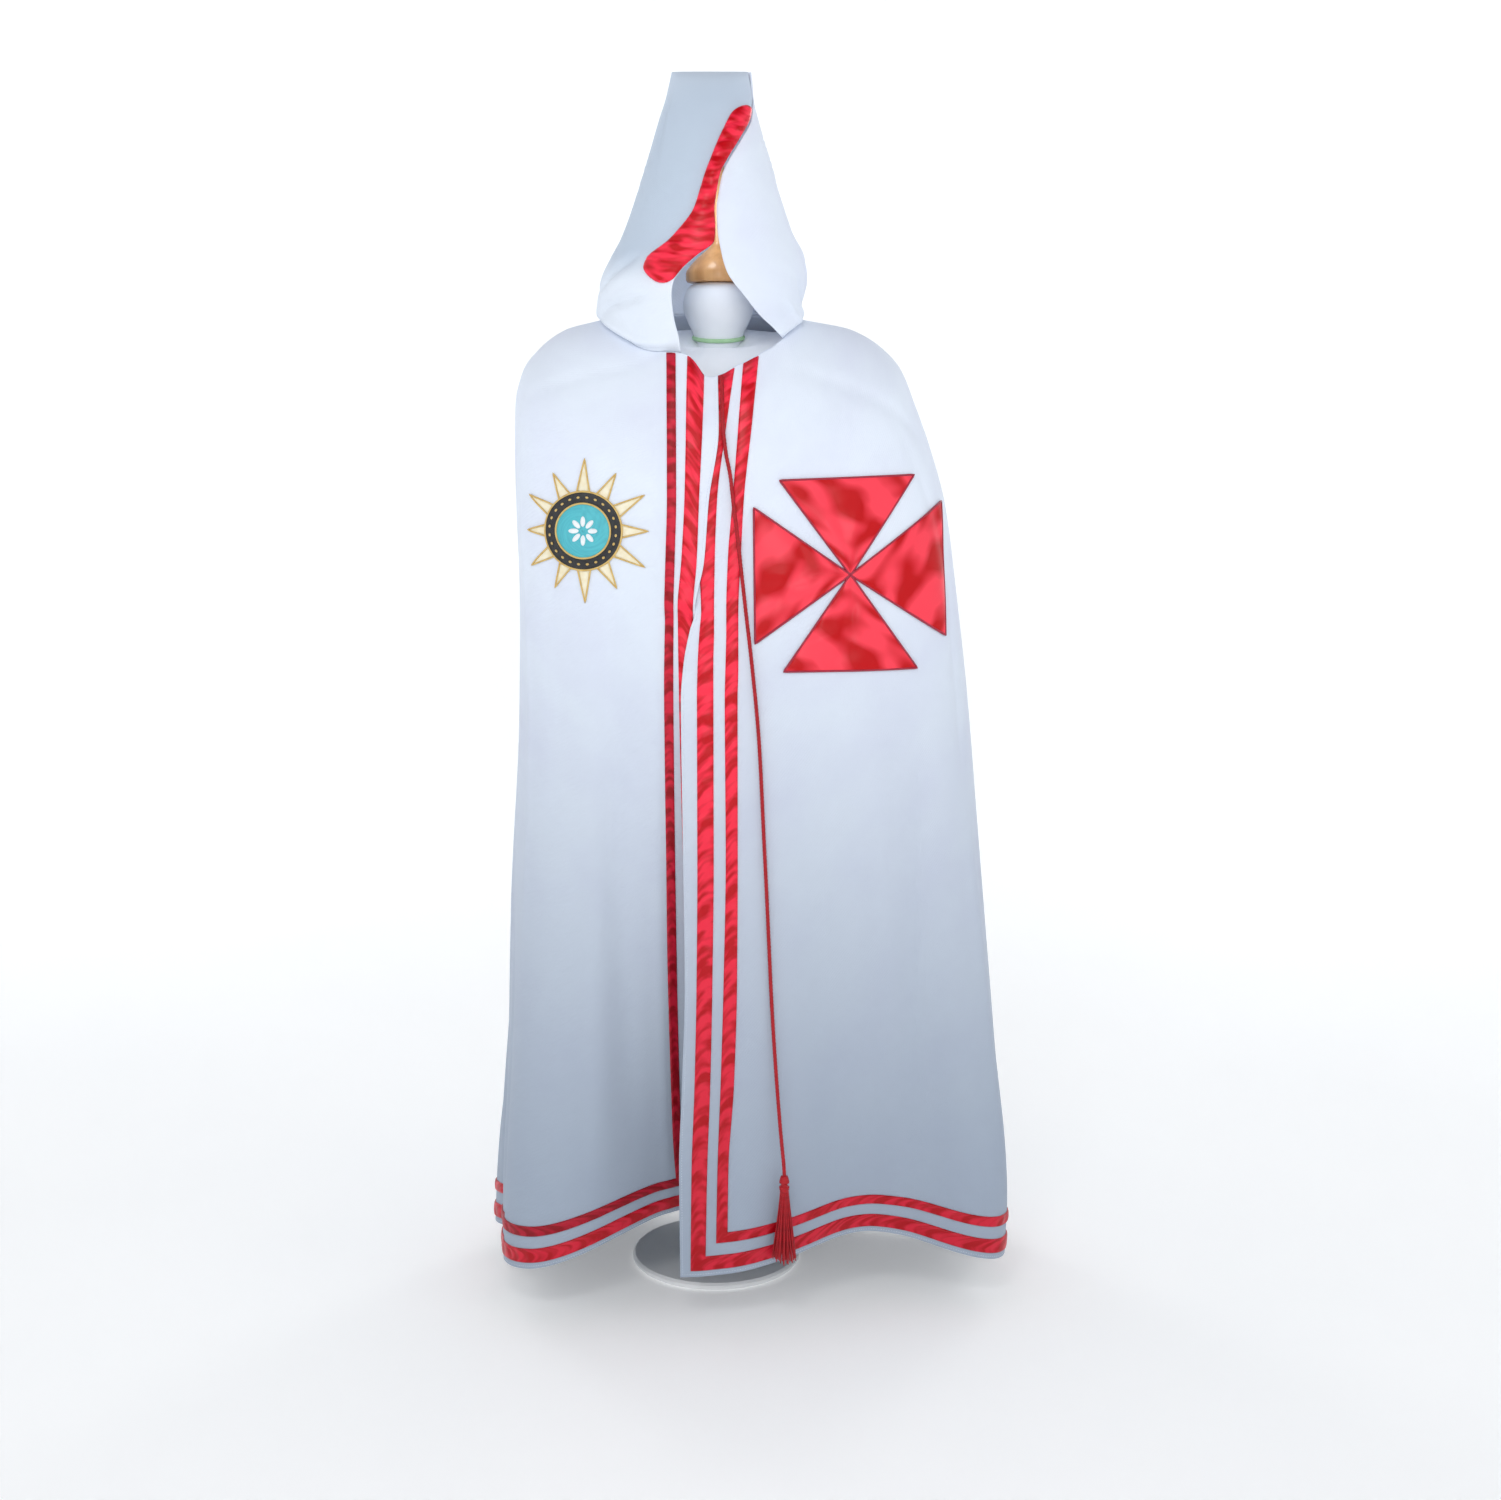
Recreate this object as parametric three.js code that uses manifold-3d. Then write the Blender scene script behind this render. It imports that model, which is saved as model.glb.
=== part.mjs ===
// A hooded ceremonial cape on a limbless dress form, in millimetres, +Z up.
// The cape's front looks along -Y. The origin is on the floor, under the form's axis.
import * as THREE from 'three';
import { mergeVertices } from 'three/addons/utils/BufferGeometryUtils.js';
import Module from 'manifold-3d';

const wasm = await Module();
wasm.setup();

// Driving dimensions
const CLOTH = 2.2;               // wall of the lined wool cloth
const SATIN = 1.2;               // wall of a satin band, arm or embroidered patch
const SEAM = 0.3;                // space between two pieces at a seam
const PATCH_LIFT = CLOTH / 2 + 0.9;   // from the panel's middle to the underside of a patch sewn on it
const LAP = 6;                   // how far one front stands off the other where they overlap
const CROSSING = { above: 926, below: 909 };   // heights between which the fronts change places
const LEFT_SWING = { out: -104, rise: 20, from: -225, to: -52, top: 916, power: 1.6 };
const HEM_LEVEL = 32;            // height of the hem at the sides

// Border, broad band, gap and narrow band, as distances above the hem
const HEM_BANDS = { broadLow: 9, broadHigh: 30, narrowLow: 48, narrowHigh: 63 };

// Cape rings. level is the height at the sides; the rises are added at centre front and centre back.
const CAPE_RINGS = [
  { level: 1278, frontRise: -71, backRise: 12, left: 138, right: 110, front: 98, back: 84, square: 2.0 },
  { level: 1265, frontRise: -98, backRise: -8, left: 188, right: 176, front: 118, back: 106, square: 2.2 },
  { level: 1240, frontRise: -110, backRise: -20, left: 223, right: 218, front: 130, back: 121, square: 2.6 },
  { level: 1215, frontRise: -113, backRise: -24, left: 242, right: 240, front: 137, back: 129, square: 3.0 },
  { level: 1177, frontRise: -108, backRise: -26, left: 251, right: 256, front: 142, back: 136, square: 3.3 },
  { level: 1120, frontRise: -95, backRise: -24, left: 252, right: 277, front: 147, back: 142, square: 3.5 },
  { level: 1049, frontRise: -78, backRise: -20, left: 251, right: 297, front: 151, back: 148, square: 3.6 },
  { level: 945, frontRise: -50, backRise: -14, left: 249, right: 312, front: 156, back: 154, square: 3.5 },
  { level: 786, frontRise: -22, backRise: -6, left: 253, right: 332, front: 163, back: 162, square: 3.1 },
  { level: 570, frontRise: 2, backRise: 0, left: 264, right: 352, front: 173, back: 174, square: 2.8 },
  { level: 348, frontRise: 22, backRise: 2, left: 276, right: 370, front: 184, back: 186, square: 2.6 },
  { level: 119, frontRise: 38, backRise: 4, left: 290, right: 384, front: 196, back: 198, square: 2.5 },
  { level: 32, frontRise: 50, backRise: 6, left: 291, right: 380, front: 200, back: 202, square: 2.5 },
];

// Largest folds. at and spread are turns from centre front in degrees, out and rise are at the hem.
const CAPE_FOLDS = [
  { name: 'left ridge', at: -50, spread: 24, out: 24, rise: -8, top: 860 },
  { name: 'left side trough', at: -84, spread: 15, out: -22, rise: 4, top: 640 },
  { name: 'right valley', at: 33, spread: 30, out: -62, rise: 12, top: 820 },
  { name: 'right ridge', at: 62, spread: 20, out: 30, rise: -6, top: 760 },
  { name: 'right side trough', at: 88, spread: 13, out: -20, rise: 3, top: 560 },
  { name: 'back ridge, right', at: 114, spread: 20, out: 26, rise: -4, top: 820 },
  { name: 'back valley, right', at: 140, spread: 19, out: -34, rise: 6, top: 900 },
  { name: 'back ridge, middle right', at: 163, spread: 17, out: 22, rise: -4, top: 760 },
  { name: 'back valley, middle', at: 186, spread: 17, out: -36, rise: 6, top: 960 },
  { name: 'back ridge, middle left', at: 209, spread: 17, out: 24, rise: -4, top: 800 },
  { name: 'back valley, left', at: 232, spread: 18, out: -30, rise: 5, top: 860 },
  { name: 'back ridge, left', at: 254, spread: 17, out: 24, rise: -4, top: 700 },
];

// How far the hem is drawn up, by turn from centre front in degrees, on the left front and on the rest
const HEM_LIFT_TOP = 520;
const HEM_LIFT = [
  { turn: -125, leftFront: 0, rest: 0 },
  { turn: -90, leftFront: 16, rest: 16 },
  { turn: -55, leftFront: 16, rest: 10 },
  { turn: -15, leftFront: 13, rest: -14 },
  { turn: -5, leftFront: 12, rest: -14 },
  { turn: 13, leftFront: 12, rest: 0 },
  { turn: 35, leftFront: 12, rest: 17 },
  { turn: 62, leftFront: 12, rest: 20 },
  { turn: 90, leftFront: 12, rest: 22 },
  { turn: 125, leftFront: 0, rest: 0 },
];

// Where the bands and the front edges lie, as x at a height of the centre front
const LEFT_STRIPES = [
  { height: 1220, narrowOut: -54, narrowIn: -43, broadOut: -29, broadIn: -9, edge: 7 },
  { height: 1140, narrowOut: -54, narrowIn: -43, broadOut: -31, broadIn: -11, edge: 9 },
  { height: 1054, narrowOut: -54, narrowIn: -43, broadOut: -33, broadIn: -15, edge: -3 },
  { height: 980, narrowOut: -56, narrowIn: -45, broadOut: -37, broadIn: -18, edge: -9 },
  { height: 916, narrowOut: -58, narrowIn: -47, broadOut: -42, broadIn: -23, edge: -18 },
  { height: 806, narrowOut: -60, narrowIn: -48, broadOut: -41, broadIn: -22, edge: -14 },
  { height: 615, narrowOut: -60, narrowIn: -48, broadOut: -38, broadIn: -18, edge: -6 },
  { height: 449, narrowOut: -58, narrowIn: -46, broadOut: -34, broadIn: -14, edge: 0 },
  { height: 218, narrowOut: -54, narrowIn: -42, broadOut: -28, broadIn: -8, edge: 8 },
  { height: 60, narrowOut: -53, narrowIn: -41, broadOut: -27, broadIn: -7, edge: 10 },
];
const RIGHT_STRIPES = [
  { height: 1220, edge: -6, broadIn: 7, broadOut: 28, narrowIn: 41, narrowOut: 58 },
  { height: 1140, edge: -15, broadIn: -3, broadOut: 17, narrowIn: 34, narrowOut: 49 },
  { height: 1054, edge: -23, broadIn: -13, broadOut: 7, narrowIn: 26, narrowOut: 40 },
  { height: 980, edge: -23, broadIn: -15, broadOut: 4, narrowIn: 20, narrowOut: 36 },
  { height: 916, edge: -15.5, broadIn: -13, broadOut: 3, narrowIn: 18, narrowOut: 33 },
  { height: 871, edge: -32, broadIn: -17, broadOut: 2, narrowIn: 17, narrowOut: 33 },
  { height: 806, edge: -37, broadIn: -18.5, broadOut: 2, narrowIn: 16, narrowOut: 32 },
  { height: 615, edge: -36.5, broadIn: -18.5, broadOut: 2, narrowIn: 17, narrowOut: 32 },
  { height: 449, edge: -35, broadIn: -20, broadOut: 0, narrowIn: 14, narrowOut: 31 },
  { height: 321, edge: -39, broadIn: -23, broadOut: -3, narrowIn: 10, narrowOut: 27 },
  { height: 218, edge: -43, broadIn: -27, broadOut: -7, narrowIn: 6, narrowOut: 20 },
  { height: 70, edge: -42, broadIn: -29, broadOut: -10, narrowIn: 3, narrowOut: 18 },
];

// Hood rings, in the same columns as the cape's; the top one is a flat closed edge
const HOOD_RINGS = [
  { level: 1278, frontRise: -71, backRise: 12, left: 138, right: 110, front: 98, back: 84, square: 2.0 },
  { level: 1303, frontRise: -66, backRise: 12, left: 147, right: 114, front: 105, back: 98, square: 2.0 },
  { level: 1328, frontRise: -58, backRise: 10, left: 142, right: 116, front: 109, back: 106, square: 2.0 },
  { level: 1353, frontRise: -50, backRise: 8, left: 130, right: 112, front: 110, back: 110, square: 2.1 },
  { level: 1378, frontRise: -42, backRise: 6, left: 116, right: 103, front: 107, back: 110, square: 2.1 },
  { level: 1427, frontRise: -28, backRise: 2, left: 97, right: 86, front: 96, back: 100, square: 2.2 },
  { level: 1476, frontRise: -15, backRise: 0, left: 81, right: 70, front: 77, back: 82, square: 2.3 },
  { level: 1525, frontRise: -6, backRise: 0, left: 66, right: 55, front: 51, back: 56, square: 2.4 },
  { level: 1549, frontRise: -3, backRise: 0, left: 58, right: 51, front: 36, back: 40, square: 2.5 },
  { level: 1574, frontRise: 0, backRise: 0, left: 52, right: 49, front: 15, back: 17, square: 2.5 },
  { level: 1583, frontRise: 0, backRise: 0, left: 50, right: 48, front: 1.7, back: 1.7, square: 2.5 },
];

// The hood's opening, as x at a height: the left half's edge with its band, then the right half's edge
const HOOD_LEFT_EDGE = [
  { height: 1583, bandOut: 30, edge: 44.5 },
  { height: 1546, bandOut: 33, edge: 49 },
  { height: 1521, bandOut: 21, edge: 46 },
  { height: 1492, bandOut: 8, edge: 33 },
  { height: 1469, bandOut: -1, edge: 20 },
  { height: 1450, bandOut: -8, edge: 11 },
  { height: 1430, bandOut: -14, edge: 7 },
  { height: 1406, bandOut: -22, edge: 4 },
  { height: 1382, bandOut: -40, edge: 5 },
  { height: 1368, bandOut: -54, edge: 4 },
  { height: 1349, bandOut: -79, edge: -19 },
  { height: 1334, bandOut: -84, edge: -36 },
  { height: 1318, bandOut: -80, edge: -47 },
  { height: 1303, bandOut: -72, edge: -49 },
  { height: 1237, bandOut: -64, edge: -40 },
  { height: 1200, bandOut: -60, edge: -37 },
];
const HOOD_RIGHT_EDGE = [
  { height: 1583, edge: 47.9 },
  { height: 1546, edge: 51 },
  { height: 1521, edge: 48.5 },
  { height: 1492, edge: 35.5 },
  { height: 1469, edge: 22.5 },
  { height: 1450, edge: 13.5 },
  { height: 1430, edge: 9.5 },
  { height: 1406, edge: 6.5 },
  { height: 1382, edge: 7.5 },
  { height: 1355, edge: 12 },
  { height: 1331, edge: 19 },
  { height: 1300, edge: 42 },
  { height: 1275, edge: 63 },
  { height: 1246, edge: 92 },
  { height: 1200, edge: 96 },
];
const HOOD_BAND = { low: 1306, high: 1542, puff: 6 };
const HOOD_FOOT = 3.0;           // height of the hood's cut edge above the neckline ring

// Dress form. The upper rings come from the cape, moved in; these are the ones below its chest.
const FORM_INSET = CLOTH / 2 + 1.4;
const FORM_UPPER = [1270, 1258, 1240];
const FORM_RINGS = [
  { level: 1205, frontRise: -96, backRise: -30, left: 205, right: 203, front: 130, back: 122, square: 2.5 },
  { level: 1160, frontRise: -84, backRise: -30, left: 176, right: 178, front: 132, back: 124, square: 2.3 },
  { level: 1090, frontRise: -60, backRise: -24, left: 164, right: 166, front: 132, back: 120, square: 2.2 },
  { level: 1000, frontRise: -20, backRise: -10, left: 148, right: 150, front: 120, back: 106, square: 2.1 },
  { level: 900, frontRise: 0, backRise: 0, left: 134, right: 136, front: 104, back: 96, square: 2.1 },
  { level: 800, frontRise: 0, backRise: 0, left: 150, right: 152, front: 110, back: 108, square: 2.1 },
  { level: 720, frontRise: 0, backRise: 0, left: 164, right: 166, front: 116, back: 118, square: 2.1 },
  { level: 655, frontRise: 0, backRise: 0, left: 160, right: 162, front: 114, back: 116, square: 2.1 },
  { level: 640, frontRise: 0, backRise: 0, left: 150, right: 152, front: 106, back: 108, square: 2.1 },
];
const NECK = { x: 7, foot: 31, radius: 43, base: 1274, top: 1324, front: 1243 };
const CAP = { thick: 14, height: 46, spindle: 8, spindleTop: 1556 };
const HOOD_REST = { radius: 5, length: 84 };
const POLE = { radius: 14, y: 22 };
const BASE = { radius: 116, thick: 10, bevel: 3 };
const FORM_SIDES = 36;

// Cross of four arms on the right front, and the round badge on the left one
const CROSS = { x: 171, z: 957, reach: 118, tip: 4, halfOuter: 83, halfTip: 3 };
const BADGE = { x: -158, z: 1016, ringOuter: 48, ringInner: 34, disc: 33, sides: 30 };

// Neck cord down to the tassel, a list of places chosen by hand
const CORD_DIAMETER = 5;
const CORD_ROUTE = [
  [12, -105.8, 1204], [13, -114.2, 1188], [13, -124.4, 1166], [14, -132, 1145], [18, -140.5, 1110], [23, -145.5, 1085],
  [27, -152, 1050], [32, -156, 1010], [37, -158, 965], [42, -161, 920], [50, -165, 850], [58, -168, 765],
  [65, -174, 630], [68, -176, 570], [75, -181, 420], [80, -185, 340], [86, -192, 262], [90.5, -198, 214],
  [91, -199, 203],
];
const TASSEL = { neck: 4, head: 6.5, headHeight: 22, bottom: 114, spread: 13.5, strand: 2.2, rings: [5, 10, 15] };

// Colours
const COLOURS = {
  cloth: 0xe9eef8, satin: 0xe01435, linen: 0xf3f1ec, wood: 0xc58a57, dark: 0x14161c, blue: 0x4fbcca,
  steel: 0xf0f1f2,
};
const finish = (color, roughness, metalness = 0) => (
  new THREE.MeshStandardMaterial({ color, roughness, metalness })
);

const part = new THREE.Group();
part.name = 'ceremonial_cape';

function add(name, geometry, color, roughness, metalness = 0) {
  const mesh = new THREE.Mesh(geometry, finish(color, roughness, metalness));
  mesh.name = name;
  part.add(mesh);
  return mesh;
}

// Number helpers
const radians = (degrees) => degrees * Math.PI / 180;
const clamp01 = (value) => Math.min(1, Math.max(0, value));
const ease = (from, to, value) => {
  const t = clamp01((value - from) / (to - from));
  return t * t * (3 - 2 * t);
};

// Smooth value of a table's column at a key, with no overshoot between rows
function column(table, key, name, at) {
  const rows = table[0][key] < table[1][key] ? table : [...table].reverse();
  const last = rows.length - 1;
  if (at <= rows[0][key]) return rows[0][name];
  if (at >= rows[last][key]) return rows[last][name];
  const k = rows.findIndex((row, index) => index < last && at < rows[index + 1][key]);
  const secant = (i) => (rows[i + 1][name] - rows[i][name]) / (rows[i + 1][key] - rows[i][key]);
  const slope = (i) => {
    if (i === 0) return secant(0);
    if (i === last) return secant(last - 1);
    const before = secant(i - 1);
    const after = secant(i);
    return before * after <= 0 ? 0 : 2 * before * after / (before + after);
  };
  const span = rows[k + 1][key] - rows[k][key];
  const t = (at - rows[k][key]) / span;
  const t2 = t * t;
  const t3 = t2 * t;
  return (2 * t3 - 3 * t2 + 1) * rows[k][name] + (t3 - 2 * t2 + t) * span * slope(k)
    + (3 * t2 - 2 * t3) * rows[k + 1][name] + (t3 - t2) * span * slope(k + 1);
}

// One ring of a table at a level
function ringAt(table, level) {
  const ring = { level };
  for (const name of ['frontRise', 'backRise', 'left', 'right', 'front', 'back', 'square']) {
    ring[name] = column(table, 'level', name, level);
  }
  return ring;
}

// A point on a ring at a turn from centre front, with the ring's level direction outwards
function ringPoint(ring, turn) {
  const s = Math.sin(turn);
  const c = Math.cos(turn);
  const n = ring.square;
  const size = (Math.abs(s) ** n + Math.abs(c) ** n) ** (1 / n);
  const half = s < 0 ? ring.left : ring.right;
  const depth = c > 0 ? ring.front : ring.back;
  const rise = (c > 0 ? ring.frontRise : ring.backRise) * c * c;
  const point = new THREE.Vector3(half * s / size, -depth * c / size, ring.level + rise);
  const outX = Math.sign(s) * (Math.abs(s) / size) ** (n - 1) / half;
  const outY = -Math.sign(c) * (Math.abs(c) / size) ** (n - 1) / depth;
  return { point, out: new THREE.Vector3(outX, outY, 0).normalize() };
}

// The turn at which the front of a ring has a given x
function turnAtX(ring, x) {
  const half = x < 0 ? ring.left : ring.right;
  const q = Math.min(0.9995, Math.abs(x) / half) ** ring.square;
  return Math.sign(x) * Math.atan((q / (1 - q)) ** (1 / ring.square));
}

// The cape's middle surface. Folds grow from their top down to the hem.
function capePoint(level, turn, isLeftFront = false) {
  const { point, out } = ringPoint(ringAt(CAPE_RINGS, level), turn);
  const flat = point.clone();
  for (const fold of CAPE_FOLDS) {
    const away = (turn * 180 / Math.PI - fold.at + 540) % 360 - 180;
    const near = Math.cos(Math.PI / 2 * Math.min(1, Math.abs(away) / fold.spread)) ** 2;
    const grown = clamp01((fold.top - level) / (fold.top - HEM_LEVEL)) ** 1.3;
    point.addScaledVector(out, fold.out * near * grown);
    point.z += fold.rise * near * grown;
  }
  if (isLeftFront) {
    const side = 2 * ease(CROSSING.below, CROSSING.above, flat.z) - 1;
    point.addScaledVector(out, LAP * side * ease(-72, -48, flat.x));
    const down = clamp01((LEFT_SWING.top - level) / (LEFT_SWING.top - HEM_LEVEL)) ** LEFT_SWING.power;
    const inner = ease(LEFT_SWING.from, LEFT_SWING.to, flat.x);
    point.addScaledVector(out, LEFT_SWING.out * down * inner);
    point.z += LEFT_SWING.rise * down * inner;
  }
  const degrees = (turn * 180 / Math.PI + 540) % 360 - 180;
  const drawn = clamp01((HEM_LIFT_TOP - level) / (HEM_LIFT_TOP - HEM_LEVEL)) ** 1.5;
  point.z += drawn * column(HEM_LIFT, 'turn', isLeftFront ? 'leftFront' : 'rest', degrees);
  return point;
}

const hoodPoint = (level, turn) => ringPoint(ringAt(HOOD_RINGS, level), turn).point;

// The direction straight out of a surface at a level and a turn, within the levels that it has
function outOf(surface, level, turn, lowest = -Infinity, highest = Infinity) {
  const step = 1e-3;
  const across = surface(level, turn + step).sub(surface(level, turn - step));
  const up = surface(Math.min(level + 0.5, highest), turn).sub(surface(Math.max(level - 0.5, lowest), turn));
  return across.cross(up).normalize();
}

// A grid of points over a surface given by levels and, for each level, its turns
function surfaceGrid(surface, levels, turnsAt) {
  const [highest, lowest] = [levels[0], levels[levels.length - 1]];
  const points = levels.map((level) => turnsAt(level).map((turn) => surface(level, turn)));
  const normals = levels.map((level) => (
    turnsAt(level).map((turn) => outOf(surface, level, turn, lowest, highest))
  ));
  return { points, normals };
}

// A closed wall over the kept cells of a grid, between two distances along its normals
function wall(grid, inner, outer, keep = () => true, isLoop = false) {
  const rows = grid.points.length;
  const columns = grid.points[0].length;
  const cellColumns = isLoop ? columns : columns - 1;
  const next = (j) => (j + 1) % columns;
  const positions = [];
  const index = new Map();
  const vertex = (i, j, isOuter) => {
    const key = (i * columns + j) * 2 + (isOuter ? 1 : 0);
    if (!index.has(key)) {
      index.set(key, positions.length / 3);
      const away = isOuter ? outer : inner;
      const distance = typeof away === 'function' ? away(i, j) : away;
      positions.push(...grid.points[i][j].clone().addScaledVector(grid.normals[i][j], distance).toArray());
    }
    return index.get(key);
  };
  const faces = [];
  const quad = (a, b, c, d) => faces.push(a, b, c, a, c, d);
  const isKept = (i, j) => {
    if (i < 0 || i >= rows - 1) return false;
    if (!isLoop && (j < 0 || j >= cellColumns)) return false;
    return keep(i, (j + cellColumns) % cellColumns);
  };
  for (let i = 0; i < rows - 1; i += 1) {
    for (let j = 0; j < cellColumns; j += 1) {
      if (!isKept(i, j)) continue;
      const k = next(j);
      quad(vertex(i, j, true), vertex(i + 1, j, true), vertex(i + 1, k, true), vertex(i, k, true));
      quad(vertex(i, j, false), vertex(i, k, false), vertex(i + 1, k, false), vertex(i + 1, j, false));
      const side = (i0, j0, i1, j1) => (
        quad(vertex(i0, j0, false), vertex(i1, j1, false), vertex(i1, j1, true), vertex(i0, j0, true))
      );
      if (!isKept(i - 1, j)) side(i, k, i, j);
      if (!isKept(i + 1, j)) side(i + 1, j, i + 1, k);
      if (!isKept(i, j - 1)) side(i, j, i + 1, j);
      if (!isKept(i, j + 1)) side(i + 1, k, i, k);
    }
  }
  const geometry = new THREE.BufferGeometry();
  geometry.setAttribute('position', new THREE.Float32BufferAttribute(positions, 3));
  geometry.setIndex(faces);
  return geometry;
}

// A closed solid through a stack of rings of equal length, from the top one down
function stack(rings) {
  const sides = rings[0].length;
  const positions = rings.flat().flatMap((point) => point.toArray());
  const faces = [];
  for (let i = 0; i < rings.length - 1; i += 1) {
    for (let j = 0; j < sides; j += 1) {
      const k = (j + 1) % sides;
      const [a, b] = [i * sides + j, i * sides + k];
      faces.push(a, a + sides, b + sides, a, b + sides, b);
    }
  }
  for (const [ring, isTop] of [[rings[0], true], [rings[rings.length - 1], false]]) {
    const middle = ring.reduce((sum, point) => sum.add(point), new THREE.Vector3()).divideScalar(sides);
    const centre = positions.length / 3;
    positions.push(...middle.toArray());
    const first = isTop ? 0 : (rings.length - 1) * sides;
    for (let j = 0; j < sides; j += 1) {
      const [a, b] = [first + j, first + (j + 1) % sides];
      faces.push(...(isTop ? [centre, a, b] : [centre, b, a]));
    }
  }
  const geometry = new THREE.BufferGeometry();
  geometry.setAttribute('position', new THREE.Float32BufferAttribute(positions, 3));
  geometry.setIndex(faces);
  return geometry;
}

// Evenly spaced values from one end to the other
const spaced = (from, to, count) => (
  Array.from({ length: count + 1 }, (unused, i) => from + (to - from) * i / count)
);

// Cape panels
const HEM_ROWS = [
  HEM_LEVEL + HEM_BANDS.narrowHigh, HEM_LEVEL + HEM_BANDS.narrowLow,
  HEM_LEVEL + HEM_BANDS.broadHigh, HEM_LEVEL + HEM_BANDS.broadLow, HEM_LEVEL,
];
const CAPE_LEVELS = [
  1278, 1270, 1258, 1240, 1218, 1180, 1130, 1070, 1020, 988, 964.5, 940, 895, 830, 740, 620, 500, 360, 240, 160,
  ...HEM_ROWS,
];
const CAPE_ROWS = CAPE_LEVELS.length - 1;
const HEM_CELLS = { narrow: CAPE_ROWS - 4, broad: CAPE_ROWS - 2 };
const SIDE_TURN = radians(90);
const seamTurn = (size) => SEAM / 2 / size;
const FRONT_COLUMNS = 11;
const BACK_COLUMNS = 22;

function leftTurns(level) {
  const ring = ringAt(CAPE_RINGS, level);
  const height = level + ring.frontRise;
  const at = (name) => turnAtX(ring, column(LEFT_STRIPES, 'height', name, height));
  const plain = spaced(-SIDE_TURN + seamTurn(ring.front), at('narrowOut'), FRONT_COLUMNS);
  return [...plain, at('narrowIn'), at('broadOut'), at('broadIn'), at('edge')];
}

function rightTurns(level) {
  const ring = ringAt(CAPE_RINGS, level);
  const height = level + ring.frontRise;
  const at = (name) => turnAtX(ring, column(RIGHT_STRIPES, 'height', name, height));
  const plain = spaced(at('narrowOut'), SIDE_TURN - seamTurn(ring.front), FRONT_COLUMNS);
  return [at('edge'), at('broadIn'), at('broadOut'), at('narrowIn'), ...plain];
}

function backTurns(level) {
  const gap = seamTurn(ringAt(CAPE_RINGS, level).back);
  return spaced(SIDE_TURN + gap, 3 * SIDE_TURN - gap, BACK_COLUMNS);
}

const leftSurface = (level, turn) => capePoint(level, turn, true);
const rightSurface = (level, turn) => capePoint(level, turn);
const leftGrid = surfaceGrid(leftSurface, CAPE_LEVELS, leftTurns);
const rightGrid = surfaceGrid(rightSurface, CAPE_LEVELS, rightTurns);
const backGrid = surfaceGrid(rightSurface, CAPE_LEVELS, backTurns);

const halfCloth = CLOTH / 2;
add('front_left', wall(leftGrid, -halfCloth, halfCloth), COLOURS.cloth, 0.85);
add('front_right', wall(rightGrid, -halfCloth, halfCloth), COLOURS.cloth, 0.85);
add('back', wall(backGrid, -halfCloth, halfCloth), COLOURS.cloth, 0.85);

// Satin bands. Each front's runs down beside the edge and turns along the hem.
const BAND_LOW = halfCloth + SEAM;
const BAND_HIGH = BAND_LOW + SATIN;
const LEFT_CELLS = { narrow: FRONT_COLUMNS, broad: FRONT_COLUMNS + 2 };
const RIGHT_CELLS = { narrow: 3, broad: 1 };

function addBand(name, grid, keep) {
  add(name, wall(grid, BAND_LOW, BAND_HIGH, keep), COLOURS.satin, 0.35);
}

for (const band of ['narrow', 'broad']) {
  const hemRow = HEM_CELLS[band];
  addBand(`band_${band}_left`, leftGrid, (i, j) => (
    (j === LEFT_CELLS[band] && i <= hemRow) || (i === hemRow && j <= LEFT_CELLS[band])
  ));
  addBand(`band_${band}_right`, rightGrid, (i, j) => (
    (j === RIGHT_CELLS[band] && i <= hemRow) || (i === hemRow && j >= RIGHT_CELLS[band])
  ));
  addBand(`band_${band}_back`, backGrid, (i) => i === hemRow);
}

// Hood halves. Each starts just above the neckline, and they meet at the back seam.
const HOOD_LEVELS = [
  1583, 1574, 1560, 1545, 1524, 1500, 1476, 1455, 1438, 1420, 1404, 1392, 1380, 1368, 1355, 1341,
  1328, 1312, 1296, HOOD_RINGS[0].level + HOOD_FOOT,
];
const HOOD_SIDE_COLUMNS = 12;
const HOOD_BAND_COLUMNS = 3;
const HOOD_RIGHT_COLUMNS = 13;

// An edge is looked up at its own height, which depends on its turn, so the turn is found by steps
function hoodEdgeTurn(table, name, level) {
  const ring = ringAt(HOOD_RINGS, level);
  let turn = 0;
  for (let pass = 0; pass < 40; pass += 1) {
    const x = column(table, 'height', name, level + ring.frontRise * Math.cos(turn) ** 2);
    turn = (turn + turnAtX(ring, x)) / 2;
  }
  return turn;
}

function hoodLeftTurns(level) {
  const bandOut = hoodEdgeTurn(HOOD_LEFT_EDGE, 'bandOut', level);
  const edge = hoodEdgeTurn(HOOD_LEFT_EDGE, 'edge', level);
  const backSeam = -2 * SIDE_TURN + seamTurn(ringAt(HOOD_RINGS, level).left);
  const plain = spaced(backSeam, bandOut, HOOD_SIDE_COLUMNS);
  return [...plain, ...spaced(bandOut, edge, HOOD_BAND_COLUMNS).slice(1)];
}

function hoodRightTurns(level) {
  const edge = hoodEdgeTurn(HOOD_RIGHT_EDGE, 'edge', level);
  const backSeam = 2 * SIDE_TURN - seamTurn(ringAt(HOOD_RINGS, level).right);
  return spaced(edge, backSeam, HOOD_RIGHT_COLUMNS);
}

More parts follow.
